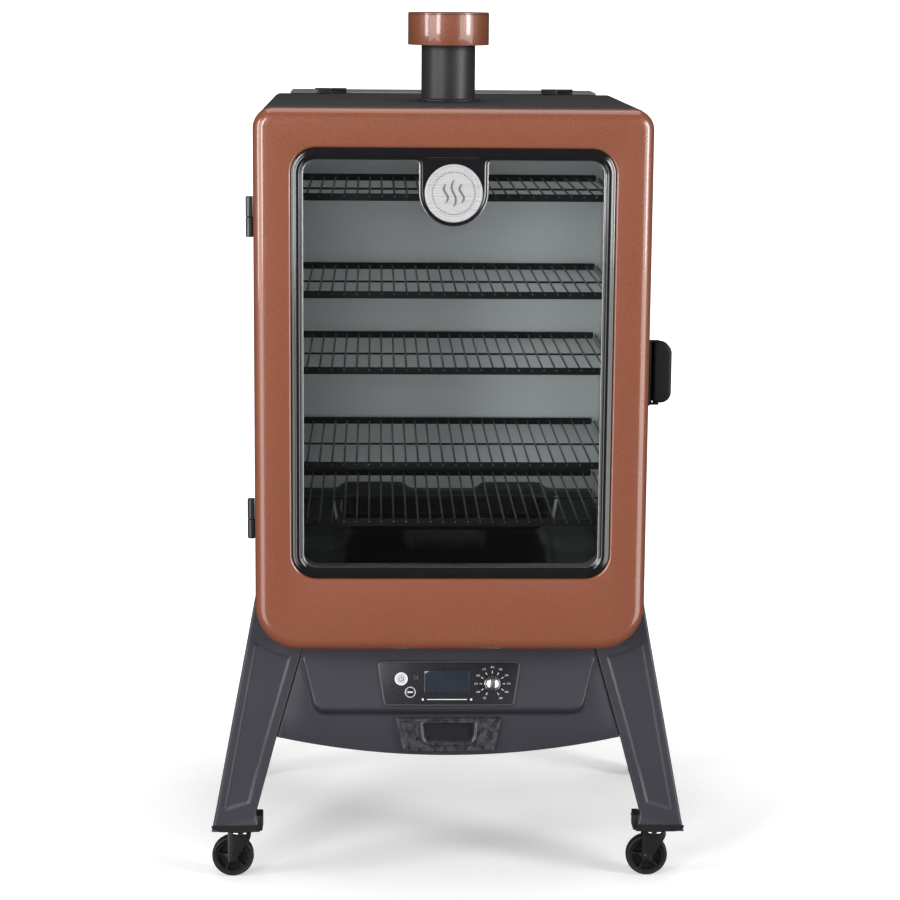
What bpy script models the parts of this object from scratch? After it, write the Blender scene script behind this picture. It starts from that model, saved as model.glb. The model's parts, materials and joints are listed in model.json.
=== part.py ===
"""Electric cabinet smoker: copper door with a window, five racks, pellet hopper behind, splayed legs.

Metres, +Z up. The origin is on the floor under the middle of the cabinet body and the door faces -Y.
"""
import math

import bmesh
import bpy
from mathutils import Matrix, Vector

# ---- driving dimensions ----
SHEET = 0.0025            # folded sheet steel
GAP = 0.0005              # clearance between neighbouring pieces
BODY_HALF = 0.308         # cabinet half width
BODY_BOTTOM = 0.402
BODY_TOP = 1.2815
BODY_FRONT = -0.278
BODY_BACK = 0.280
BODY_CORNER = 0.013
LINER_HALF = 0.288
LINER_BOTTOM = 0.430
LINER_TOP = 1.250
LINER_BACK = 0.232
DOOR_HALF = 0.3175
DOOR_BOTTOM = 0.4045
DOOR_TOP = 1.2836
DOOR_FRONT = -0.340
DOOR_BACK = -0.2855
DOOR_EDGE = 0.019         # front edge rounding
DOOR_CORNER_LOW = 0.072
DOOR_CORNER_HIGH = 0.033
WINDOW_HALF = 0.2575
WINDOW_BOTTOM = 0.5265
WINDOW_TOP = 1.2220
WINDOW_CORNER = 0.040
BEZEL_WIDTH = 0.0185
TAB_HALF = 0.054
TAB_BOTTOM = 1.099
BADGE_Z = 1.151
BADGE_RADIUS = 0.046
DOOR_AXIS = (-0.3250, -0.2800)
LATCH_AXIS = (0.3300, -0.3000)
LATCH_LOW = 0.808
LATCH_HIGH = 0.913
RACK_HEIGHTS = (1.136, 0.977, 0.852, 0.694, 0.598)
RACK_HALF = 0.2785
RACK_FRONT = -0.240
RACK_BACK = 0.210
RACK_WIRES = 28
FLUE_Y = 0.020
FLUE_RADIUS = 0.046
CAP_RADIUS = 0.069
CAP_LOW = 1.375
CAP_HIGH = 1.430
HOPPER_HALF = 0.280
HOPPER_BACK = 0.440
AUGER_Z = 0.470
AUGER_RADIUS = 0.022
IGNITER_Z = 0.4415
POT_Y = 0.030
POT_RADIUS = 0.045
LEG_TOP = 0.475
LEG_BOTTOM = 0.0945
LEG_PLANE_Y = -0.2830     # leg front face where it meets the cabinet
LEG_KNEE = 0.400          # the leg leans forward below this height
LEG_LEAN = 0.1145
APRON_SET_BACK = 0.0050
PANEL_SLOPE = 0.30        # control face: run back per rise
PANEL_TOP = 0.378
STEM_X = 0.348
REAR_STEM_X = 0.372
STEM_Y = 0.272
WHEEL_RADIUS = 0.035
TRAIL = 0.012

LEG_OUTER = ((LEG_TOP, 0.3213), (LEG_BOTTOM, 0.3915))
LEG_INNER = ((0.4085, 0.2383), (0.244, 0.286), (0.121, 0.319), (LEG_BOTTOM, 0.3135))


# ---- helpers ----
def clear_scene():
    for obj in list(bpy.data.objects):
        bpy.data.objects.remove(obj)


def paint(name, colour, roughness, metallic=0.0):
    material = bpy.data.materials.new(name)
    material.use_nodes = True
    shader = material.node_tree.nodes["Principled BSDF"]
    shader.inputs["Base Color"].default_value = (*colour, 1.0)
    shader.inputs["Roughness"].default_value = roughness
    shader.inputs["Metallic"].default_value = metallic
    return material


def make(name, bm, material=None, origin=(0.0, 0.0, 0.0)):
    """Object from a bmesh in world space, with its origin on its joint axis."""
    bmesh.ops.recalc_face_normals(bm, faces=bm.faces)
    bmesh.ops.translate(bm, verts=bm.verts, vec=-Vector(origin))
    mesh = bpy.data.meshes.new(name)
    bm.to_mesh(mesh)
    bm.free()
    obj = bpy.data.objects.new(name, mesh)
    obj.location = origin
    bpy.context.scene.collection.objects.link(obj)
    if material:
        mesh.materials.append(material)
    return obj


def box_mesh(low, high, bevel=0.0):
    bm = bmesh.new()
    size = [high[i] - low[i] for i in range(3)]
    middle = [(high[i] + low[i]) / 2 for i in range(3)]
    matrix = Matrix.Translation(middle) @ Matrix.Diagonal((*size, 1.0))
    bmesh.ops.create_cube(bm, size=1.0, matrix=matrix)
    if bevel:
        bmesh.ops.bevel(bm, geom=bm.edges[:], offset=bevel, segments=1, affect="EDGES", profile=0.5)
    return bm


def loft(rings, closed=False, caps=True):
    """Skin a list of rings of points; closed joins the last ring to the first."""
    bm = bmesh.new()
    rows = [[bm.verts.new(p) for p in ring] for ring in rings]
    pairs = list(zip(rows, rows[1:]))
    if closed:
        pairs.append((rows[-1], rows[0]))
    for a, b in pairs:
        for i in range(len(a)):
            j = (i + 1) % len(a)
            bm.faces.new((a[i], a[j], b[j], b[i]))
    if caps and not closed:
        bm.faces.new(rows[0])
        bm.faces.new(rows[-1])
    return bm


def prism(outline, y0, y1):
    """Extrude an (x, z) outline between two y planes."""
    return loft([[(x, y0, z) for x, z in outline], [(x, y1, z) for x, z in outline]])


def corner_arc(cx, cz, radius, start, steps):
    return [(cx + radius * math.cos(math.radians(start + 90 * i / steps)),
             cz + radius * math.sin(math.radians(start + 90 * i / steps))) for i in range(steps + 1)]


def rounded(half, low, high, r_low, r_high, steps=5):
    """Rounded rectangle outline in x, z, counter-clockwise from the lower right corner."""
    return (corner_arc(half - r_low, low + r_low, r_low, -90, steps)
            + corner_arc(half - r_high, high - r_high, r_high, 0, steps)
            + corner_arc(-half + r_high, high - r_high, r_high, 90, steps)
            + corner_arc(-half + r_low, low + r_low, r_low, 180, steps))


def ring_at(outline, y):
    return [(x, y, z) for x, z in outline]


def cylinder(start, end, radius, segments=16):
    start, end = Vector(start), Vector(end)
    axis = (end - start).normalized()
    side = axis.orthogonal().normalized()
    other = axis.cross(side)
    ring = [side * math.cos(a) * radius + other * math.sin(a) * radius
            for a in (2 * math.pi * i / segments for i in range(segments))]
    return loft([[start + p for p in ring], [end + p for p in ring]])


def lathe(profile, centre, axis, segments=24, closed=True):
    """Turn (radius, height) points round an axis through centre."""
    centre, axis = Vector(centre), Vector(axis).normalized()
    side = axis.orthogonal().normalized()
    other = axis.cross(side)
    rings = []
    for radius, height in profile:
        rings.append([centre + axis * height + (side * math.cos(a) + other * math.sin(a)) * radius
                      for a in (2 * math.pi * i / segments for i in range(segments))])
    return loft(rings, closed=closed)


def boolean(obj, bm, operation):
    """Apply one Boolean with a temporary tool body."""
    tool = make("tool", bm)
    tool.location = (0.0, 0.0, 0.0)
    modifier = obj.modifiers.new("boolean", "BOOLEAN")
    modifier.operation = operation
    modifier.solver = "EXACT"
    modifier.object = tool
    bpy.context.view_layer.update()
    depsgraph = bpy.context.evaluated_depsgraph_get()
    mesh = bpy.data.meshes.new_from_object(obj.evaluated_get(depsgraph))
    obj.modifiers.clear()
    old = obj.data
    obj.data = mesh
    mesh.name = obj.name
    bpy.data.meshes.remove(old)
    bpy.data.objects.remove(tool)


def cut(obj, *tools):
    for bm in tools:
        boolean(obj, bm, "DIFFERENCE")


def add(obj, *tools):
    for bm in tools:
        boolean(obj, bm, "UNION")


def simplify(obj):
    """Dissolve coplanar edges."""
    bm = bmesh.new()
    bm.from_mesh(obj.data)
    bmesh.ops.dissolve_limit(bm, angle_limit=math.radians(0.3), verts=bm.verts, edges=bm.edges)
    bm.to_mesh(obj.data)
    bm.free()


def smooth(obj, degrees=30):
    obj.data.shade_smooth()
    obj.data.set_sharp_from_angle(angle=math.radians(degrees))


def line(points, z):
    """x on a broken line of (z, x) points."""
    for (z0, x0), (z1, x1) in zip(points, points[1:]):
        if z1 <= z <= z0:
            return x0 + (x1 - x0) * (z0 - z) / (z0 - z1)
    return points[0][1] if z > points[0][0] else points[-1][1]


def leg_y(z):
    return LEG_PLANE_Y - LEG_LEAN * max(0.0, LEG_KNEE - z)


def apron_y(z):
    return leg_y(z) + APRON_SET_BACK


def panel_y(z):
    """Front face of the control pod."""
    return apron_y(PANEL_TOP) - 0.001 - PANEL_SLOPE * (PANEL_TOP - z)


def panel_point(x, z, out=0.0):
    """Point over the control face at height z, moved out along its normal."""
    normal = Vector((0.0, -1.0, PANEL_SLOPE)).normalized()
    return Vector((x, panel_y(z), z)) + normal * out


def panel_plate(outline, back, front):
    """Prism of an (x, z) outline between two distances from the control face."""
    return loft([[panel_point(x, z, back) for x, z in outline],
                 [panel_point(x, z, front) for x, z in outline]])


def trapezoid(half_high, half_low, high, low, r_high, r_low, steps=3):
    """Rounded trapezoid, wider at the top, counter-clockwise from the lower right corner."""
    lean = math.degrees(math.atan2(half_high - half_low, high - low))
    points = []
    corners = ((half_low, low, r_low, -90, 90 - lean), (half_high, high, r_high, -lean, 90 + lean),
               (-half_high, high, r_high, 90, 90 + lean), (-half_low, low, r_low, 180 + lean, 90 - lean))
    for x, z, radius, start, sweep in corners:
        turn = math.radians(180 - sweep)
        reach = radius / math.tan(turn / 2)
        side = 1 if x > 0 else -1
        along = math.radians(start)
        flat = Vector((-side * reach, 0.0)) if z in (high, low) else Vector((0.0, 0.0))
        centre = Vector((x, z)) + flat + Vector((0.0, radius if z == low else -radius))
        for i in range(steps + 1):
            angle = along + math.radians(sweep) * i / steps
            points.append((centre.x + radius * math.cos(angle), centre.y + radius * math.sin(angle)))
    return points


# ---- materials ----
def materials():
    return {
        "copper": paint("copper_paint", (0.33, 0.10, 0.055), 0.35, 0.3),
        "charcoal": paint("charcoal_paint", (0.055, 0.054, 0.062), 0.55),
        "black": paint("black_enamel", (0.015, 0.015, 0.017), 0.35),
        "gloss": paint("gloss_black", (0.01, 0.01, 0.012), 0.12),
        "steel": paint("brushed_steel", (0.42, 0.42, 0.41), 0.38, 1.0),
        "chrome": paint("chrome", (0.75, 0.75, 0.76), 0.12, 1.0),
        "glass": paint("smoked_glass", (0.05, 0.06, 0.06), 0.03),
        "rope": paint("seal_rope", (0.03, 0.03, 0.03), 0.9),
        "display": paint("display_window", (0.03, 0.04, 0.055), 0.15),
        "white": paint("white_button", (0.8, 0.8, 0.8), 0.3),
        "plastic": paint("black_plastic", (0.02, 0.02, 0.02), 0.45),
    }


# ---- cabinet ----
def outer_shell(m):
    def outline(inset):
        return rounded(BODY_HALF - inset, BODY_BOTTOM + inset, BODY_TOP - inset,
                       BODY_CORNER - inset, BODY_CORNER - inset, 4)
    front = BODY_FRONT + SHEET + GAP
    bm = loft([ring_at(outline(SHEET), BODY_BACK - SHEET), ring_at(outline(SHEET), front),
               ring_at(outline(0.0), front), ring_at(outline(0.0), BODY_BACK)])
    shell = make("outer_shell", bm, m["charcoal"])
    cut(shell, cylinder((0, FLUE_Y, BODY_TOP - 0.02), (0, FLUE_Y, BODY_TOP + 0.02), FLUE_RADIUS + 0.001, 24),
        cylinder((0, BODY_BACK - 0.02, AUGER_Z), (0, BODY_BACK + 0.02, AUGER_Z), AUGER_RADIUS + 0.001),
        box_mesh((-0.05, -0.08, BODY_BOTTOM - 0.02), (0.05, 0.16, BODY_BOTTOM + 0.02)))
    simplify(shell)
    smooth(shell)
    return shell


def inner_liner(m):
    """Open-fronted chamber with a front flange and a pair of ledges for each rack."""
    wall = 0.002
    low, high = LINER_BOTTOM, LINER_TOP

    def box_outline(inset):
        return rounded(LINER_HALF - inset, low + inset, high - inset, 0.012 - inset, 0.012 - inset, 2)
    flange = rounded(BODY_HALF, BODY_BOTTOM, BODY_TOP, BODY_CORNER, BODY_CORNER, 2)
    bm = loft([ring_at(box_outline(0.0), LINER_BACK), ring_at(box_outline(0.0), BODY_FRONT + SHEET),
               ring_at(flange, BODY_FRONT + SHEET), ring_at(flange, BODY_FRONT),
               ring_at(box_outline(wall), BODY_FRONT), ring_at(box_outline(wall), LINER_BACK - wall)])
    liner = make("inner_liner", bm, m["steel"])
    ledge_top_drop = 0.0023
    for height in RACK_HEIGHTS:
        top = height - ledge_top_drop - GAP
        for side in (-1, 1):
            xs = sorted((side * 0.2705, side * (LINER_HALF - wall / 2)))
            add(liner, box_mesh((xs[0], -0.235, top - 0.003), (xs[1], 0.200, top)))
    cut(liner, cylinder((0, FLUE_Y, high - 0.02), (0, FLUE_Y, high + 0.02), FLUE_RADIUS + 0.001, 24),
        cylinder((0, LINER_BACK - 0.02, AUGER_Z), (0, LINER_BACK + 0.02, AUGER_Z), AUGER_RADIUS + 0.001),
        cylinder((0, -0.06, low - 0.02), (0, -0.06, low + 0.02), 0.014, 12),
        cylinder((0, POT_Y, low - 0.02), (0, POT_Y, low + 0.02), 0.030, 16))
    simplify(liner)
    return liner


def rack_bmesh(z):
    """Flat grid: strips front and back, wires running front to back."""
    wire = 0.0035
    pitch = 2 * (RACK_HALF - wire / 2) / (RACK_WIRES - 1)
    strip = 0.006
    bm = bmesh.new()
    edges_x = []
    for i in range(RACK_WIRES):
        centre = -RACK_HALF + wire / 2 + i * pitch
        edges_x += [centre - wire / 2, centre + wire / 2]
    rows_y = (RACK_FRONT, RACK_FRONT + strip, RACK_BACK - strip, RACK_BACK)
    grid = [[bm.verts.new((x, y, z - 0.002)) for x in edges_x] for y in rows_y]
    for r in range(3):
        for c in range(len(edges_x) - 1):
            if r != 1 or c % 2 == 0:
                bm.faces.new((grid[r][c], grid[r][c + 1], grid[r + 1][c + 1], grid[r + 1][c]))
    top = bmesh.ops.extrude_face_region(bm, geom=bm.faces[:])
    moved = [v for v in top["geom"] if isinstance(v, bmesh.types.BMVert)]
    bmesh.ops.translate(bm, verts=moved, vec=(0, 0, 0.004))
    return bm


def racks(m):
    for number, height in enumerate(RACK_HEIGHTS, 1):
        rack = make(f"rack_{number}", rack_bmesh(height), m["black"])
        for y in (RACK_FRONT, RACK_BACK - 0.002):
            add(rack, box_mesh((-0.2685, y + 0.0002, height - 0.006), (0.2685, y + 0.0018, height + 0.006)))
        simplify(rack)


def heat_baffle(m):
    """Folded plate over the fire: high at the back with two humps, low at the front."""
    columns = (-0.275, -0.194, -0.180, -0.072, -0.060, 0.060, 0.072, 0.180, 0.194, 0.275)
    humps = (0.0, 0.0, 0.012, 0.012, 0.0, 0.0, 0.012, 0.012, 0.0, 0.0)
    rows = ((-0.215, 0.446), (-0.205, 0.461), (-0.030, 0.506), (0.050, 0.511), (0.215, 0.568))
    rings = []
    for y, z in rows:
        share = 1.0 if y > 0 else 0.35
        top = [(x, y, z + h * share) for x, h in zip(columns, humps)]
        under = [(x, y, z + h * share - 0.002) for x, h in reversed(list(zip(columns, humps)))]
        rings.append(top + under)
    baffle = make("heat_baffle", loft(rings), m["black"])
    return baffle


def water_pan(m):
    """Shallow pan on the baffle with a wire bail at each end."""
    def outline(half_x, front, back, z):
        return [(-half_x, front, z), (half_x, front, z), (half_x, back, z), (-half_x, back, z)]
    low, high = 0.5415, 0.5760
    bm = loft([outline(0.165, -0.035, 0.085, low), outline(0.185, -0.055, 0.105, high),
               outline(0.182, -0.052, 0.102, high), outline(0.1625, -0.0325, 0.0825, low + 0.002)])
    pan = make("water_pan", bm, m["black"])
    return pan


# ---- chimney ----
def chimney(m):
    low, high = LINER_TOP - 0.003, 1.392
    bore = FLUE_RADIUS - 0.002
    flange_low = BODY_TOP + GAP
    profile = [(FLUE_RADIUS, low), (FLUE_RADIUS, flange_low), (0.055, flange_low), (0.055, flange_low + 0.002),
               (FLUE_RADIUS, flange_low + 0.002), (FLUE_RADIUS, high), (bore, high), (bore, low)]
    pipe = make("chimney_pipe", lathe(profile, (0, FLUE_Y, 0), (0, 0, 1), 24), m["charcoal"])
    add(pipe, box_mesh((-0.045, FLUE_Y - 0.005, 1.360), (0.045, FLUE_Y + 0.005, 1.364)),
        cylinder((0, FLUE_Y, 1.362), (0, FLUE_Y, 1.4245), 0.004, 12))
    smooth(pipe)
    nut = lathe([(0.0095, 1.3980), (0.0095, 1.4265), (0.0052, 1.4265), (0.0052, 1.3980)],
                (0, FLUE_Y, 0), (0, 0, 1), 6)
    make("cap_nut", nut, m["chrome"], (0, FLUE_Y, 1.4205))
    wall = 0.0015
    profile = [(0.0, CAP_HIGH), (CAP_RADIUS - 0.003, CAP_HIGH), (CAP_RADIUS, CAP_HIGH - 0.003),
               (CAP_RADIUS, CAP_LOW), (CAP_RADIUS - wall, CAP_LOW), (CAP_RADIUS - wall, CAP_HIGH - 0.003),
               (0.0, CAP_HIGH - 0.003)]
    bm = lathe(profile, (0, FLUE_Y, 0), (0, 0, 1), 32, closed=False)
    bmesh.ops.remove_doubles(bm, verts=bm.verts, dist=1e-6)
    smooth(make("chimney_cap", bm, m["copper"], (0, FLUE_Y, CAP_LOW)))


# ---- door ----
def door_ring(half, low, high, r_low, r_high, inset, y, steps=5):
    return ring_at(rounded(half - inset, low + inset, high - inset, r_low - inset, r_high - inset, steps), y)


def door_skin(m):
    """Pan with rolled front edges and a window opening."""
    outer = (DOOR_HALF, DOOR_BOTTOM, DOOR_TOP, DOOR_CORNER_LOW, DOOR_CORNER_HIGH)
    window = (WINDOW_HALF, WINDOW_BOTTOM, WINDOW_TOP, WINDOW_CORNER, WINDOW_CORNER)
    rings = [door_ring(*outer, 0.0, DOOR_BACK)]
    turns = 4
    for i in range(turns + 1):
        angle = math.pi / 2 * i / turns
        inset = DOOR_EDGE * (1 - math.cos(angle))
        rings.append(door_ring(*outer, inset, DOOR_FRONT + DOOR_EDGE * (1 - math.sin(angle))))
    rings.append(door_ring(*window, 0.0, DOOR_FRONT))
    rings.append(door_ring(*window, 0.0, DOOR_FRONT + SHEET))
    inner = DOOR_EDGE - SHEET
    for i in range(2, -1, -1):
        angle = math.pi / 2 * i / 2
        inset = SHEET + inner * (1 - math.cos(angle))
        rings.append(door_ring(*outer, inset, DOOR_FRONT + SHEET + inner * (1 - math.sin(angle))))
    rings.append(door_ring(*outer, SHEET, DOOR_BACK))
    skin = make("door_skin", loft(rings, closed=True), m["copper"], (*DOOR_AXIS, 0))
    smooth(skin, 40)
    return skin


def door_liner(m):
    """Inner pan: closes the door's back and holds the glass against the bezel."""
    back = DOOR_BACK + 0.0002
    hold = -0.3260
    outer = (0.3105, 0.4115, 1.2766, 0.065, 0.026)
    window = (0.2430, 0.5410, 1.2075, 0.030, 0.030)
    wall = 0.002
    rings = [door_ring(*outer, 0.0, back), door_ring(*outer, 0.0, back - wall),
             door_ring(*window, -wall, back - wall), door_ring(*window, -wall, hold),
             door_ring(*window, 0.0, hold), door_ring(*window, 0.0, back)]
    make("door_liner", loft(rings, closed=True), m["steel"], (*DOOR_AXIS, 0))


def window_bezel(m):
    """Rounded frame round the glass, with the badge tab hanging from its top rail."""
    outer = (WINDOW_HALF - GAP, WINDOW_BOTTOM + GAP, WINDOW_TOP - GAP, WINDOW_CORNER, WINDOW_CORNER)
    profile = ((0.0, -0.3310), (0.0, -0.3385), (0.004, -0.3412), (0.0095, -0.3420), (0.015, -0.3405),
               (BEZEL_WIDTH, -0.3365), (BEZEL_WIDTH, -0.3310))
    rings = [door_ring(*outer, inset, y) for inset, y in profile]
    bezel = make("window_bezel", loft(rings, closed=True), m["gloss"], (*DOOR_AXIS, 0))
    centre = TAB_BOTTOM + TAB_HALF
    outline = [(TAB_HALF, WINDOW_TOP - 0.010), (-TAB_HALF, WINDOW_TOP - 0.010)]
    outline += [(-TAB_HALF * math.cos(a), centre - TAB_HALF * math.sin(a))
                for a in (math.pi * i / 14 for i in range(15))]
    bpy.context.view_layer.update()
    add(bezel, prism(outline, -0.3380, -0.3325))
    smooth(bezel, 40)


def door_details(m):
    glass = prism(rounded(0.2490, 0.5350, 1.2135, 0.030, 0.030, 3), -0.3304, -0.3264)
    make("window_glass", glass, m["glass"], (*DOOR_AXIS, 0))
    badge = lathe([(0.0, 0.3384), (BADGE_RADIUS, 0.3384), (BADGE_RADIUS, 0.3404), (BADGE_RADIUS - 0.002, 0.3420),
                   (0.0, 0.3420)], (0, 0, BADGE_Z), (0, -1, 0), 32, closed=False)
    bmesh.ops.remove_doubles(badge, verts=badge.verts, dist=1e-6)
    make("badge", badge, m["steel"], (*DOOR_AXIS, 0))
    seal_outer = (0.3000, 0.4100, 1.2735, 0.020, 0.022)
    front, back = DOOR_BACK + 0.0005, BODY_FRONT - 0.0004
    width = 0.010
    profile = ((0.0, front), (0.0, back - 0.002), (0.003, back), (width - 0.003, back), (width, back - 0.002),
               (width, front))
    rings = [door_ring(*seal_outer, inset, y, 3) for inset, y in profile]
    make("door_seal", loft(rings, closed=True), m["rope"], (*DOOR_AXIS, 0))


def door_hinges(m):
    """Each hinge: a cabinet half with its pin below, and a door half with its barrel above."""
    radius, pin, bore = 0.0065, 0.0030, 0.0034
    x, y = DOOR_AXIS
    for name, low, high in (("upper", 1.075, 1.140), ("lower", 0.581, 0.647)):
        middle = (low + high) / 2
        fixed = make(f"hinge_bracket_{name}", cylinder((x, y, low), (x, y, middle - GAP), radius), m["black"])
        add(fixed, cylinder((x, y, middle - 0.002), (x, y, high - 0.001), pin, 12),
            box_mesh((x - 0.002, -0.2770, low), (-BODY_HALF - 0.0003, -0.2738, middle - GAP)),
            box_mesh((-BODY_HALF - 0.0033, -0.2750, low), (-BODY_HALF - 0.0003, -0.2300, middle - GAP)))
        barrel = lathe([(radius, middle), (radius, high), (bore, high), (bore, middle)], (x, y, 0), (0, 0, 1), 16)
        moving = make(f"hinge_barrel_{name}", barrel, m["black"], (x, y, 0))
        bpy.context.view_layer.update()
        add(moving, box_mesh((x + 0.0042, -0.2848, middle), (-0.3030, -0.2818, high)))
        smooth(fixed)
        smooth(moving)


def latch(m):
    x, y = LATCH_AXIS
    plate = box_mesh((DOOR_HALF + 0.0004, -0.3150, LATCH_LOW), (DOOR_HALF + 0.0034, -0.2890, LATCH_HIGH))
    bracket = make("latch_bracket", plate, m["black"], (*DOOR_AXIS, 0))
    bpy.context.view_layer.update()
    for z0, z1 in ((LATCH_LOW, LATCH_LOW + 0.003), (LATCH_HIGH - 0.003, LATCH_HIGH)):
        add(bracket, box_mesh((DOOR_HALF + 0.002, y - 0.006, z0), (x + 0.006, y + 0.006, z1)))
    add(bracket, cylinder((x, y, LATCH_LOW + 0.001), (x, y, LATCH_HIGH - 0.001), 0.0025, 12))
    low, high = LATCH_LOW + 0.0035, LATCH_HIGH - 0.0035
    corner = 0.014
    top = [(0.3555 - corner + corner * math.cos(a), high - corner + corner * math.sin(a))
           for a in (math.pi / 2 * (1 - i / 4) for i in range(5))]
    bottom = [(0.3555 - corner + corner * math.cos(a), low + corner + corner * math.sin(a))
              for a in (-math.pi / 2 * i / 4 for i in range(5))]
    outline = [(0.3255, low), (0.3255, high)] + top + bottom
    handle = make("latch_handle", prism(outline, -0.3100, -0.2750), m["plastic"], (x, y, 0))
    bpy.context.view_layer.update()
    cut(handle, cylinder((x, y, low - 0.01), (x, y, high + 0.01), 0.0030, 12),
        box_mesh((0.3180, -0.2960, low + 0.012), (0.3480, -0.2700, high - 0.012)))
    add(handle, box_mesh((0.3255, -0.2965, 0.8480), (0.3290, -0.2480, 0.8730)))
    keeper = box_mesh((BODY_HALF + 0.0004, -0.2740, 0.8400), (BODY_HALF + 0.0030, -0.2350, 0.8810))
    keeper = make("latch_keeper", keeper, m["steel"])
    add(keeper, box_mesh((BODY_HALF + 0.002, -0.2620, 0.8500), (0.3245, -0.2560, 0.8710)))


# ---- base ----
def leg(name, side, end, m):
    """Splayed sheet leg: side is -1 left or 1 right, end is 1 front or -1 rear."""
    lip, depth = 0.020, 0.100

    def section(z, inner, lip_depth, side_depth):
        outer = line(LEG_OUTER, z)
        y = leg_y(z)
        points = [(inner, y + lip_depth), (inner, y), (outer, y), (outer, y + side_depth),
                  (outer - SHEET, y + side_depth), (outer - SHEET, y + SHEET),
                  (inner + SHEET, y + SHEET), (inner + SHEET, y + lip_depth)]
        return [(side * px, end * py, z) for px, py in points]
    rings = [section(z, line(LEG_INNER, z), lip, 0.088) for z in (LEG_BOTTOM, 0.121, 0.244)]
    rings += [section(0.3950, line(LEG_INNER, 0.3950), lip, depth),
              section(0.3955, line(LEG_INNER, 0.3955), SHEET + 0.0003, depth),
              section(0.4085, line(LEG_INNER, 0.4085), SHEET + 0.0003, depth),
              section(0.4090, 0.3030, SHEET + 0.0003, depth),
              section(LEG_TOP, 0.3030, SHEET + 0.0003, depth)]
    obj = make(name, loft(rings), m["charcoal"])

    def block(x0, x1, y0, y1, z0, z1):
        xs, ys = sorted((side * x0, side * x1)), sorted((end * y0, end * y1))
        return box_mesh((xs[0], ys[0], z0), (xs[1], ys[1], z1))
    front = leg_y(LEG_BOTTOM)
    add(obj, block(0.2600, 0.3330, LEG_PLANE_Y + 0.001, -0.190, 0.3975, 0.4012),
        block(0.3120, 0.3930, front - 0.002, front + 0.090, 0.0850, 0.0955),
        block(0.3110, 0.3200, front + 0.012, front + 0.040, 0.0860, 0.1170))
    return obj


def apron(m):
    """Front panel between the legs, with the control pod pressed into it and the drawer's slot."""
    low_mid, low_side, side_x = 0.216, 0.2465, 0.2842
    rise = low_side - low_mid
    radius = (side_x ** 2 + rise ** 2) / (2 * rise)
    steps = 12
    outline = [(0.2395, 0.4000), (-0.2395, 0.4000), (-side_x, low_side)]
    for i in range(1, steps):
        x = -side_x + 2 * side_x * i / steps
        outline.append((x, low_mid + radius - math.sqrt(radius ** 2 - x ** 2)))
    outline.append((side_x, low_side))
    bm = loft([[(x, apron_y(z), z) for x, z in outline],
               [(x, apron_y(z) + SHEET, z) for x, z in outline]])
    obj = make("apron", bm, m["charcoal"])

    def pod(inset, reach):
        base = trapezoid(0.2430 - inset, 0.2255 - inset, 0.386 - inset, 0.2820 + inset, 0.006, 0.022)
        face = trapezoid(0.2400 - inset, 0.2180 - inset, PANEL_TOP - inset, 0.3015 + inset, 0.006, 0.018)
        return loft([[(x, apron_y(z) + reach, z) for x, z in base], [(x, apron_y(z), z) for x, z in base],
                     [(x, panel_y(z) + inset, z) for x, z in face]])
    add(obj, pod(0.0, SHEET / 2))
    cut(obj, pod(SHEET, 0.02),
        panel_plate([(0.0965, 0.3095), (0.0965, 0.3645), (-0.0965, 0.3645), (-0.0965, 0.3095)], -0.02, 0.01),
        box_mesh((-0.0760, -0.34, 0.2320), (0.0760, -0.25, 0.2680)))
    simplify(obj)
    return obj


def rear_brace(m):
    outline = [(0.2395, 0.3990), (-0.2395, 0.3990), (-0.2795, 0.2600), (0.2795, 0.2600)]
    bm = loft([[(x, -apron_y(z), z) for x, z in outline],
               [(x, -apron_y(z) - SHEET, z) for x, z in outline]])
    make("rear_brace", bm, m["charcoal"])


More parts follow.
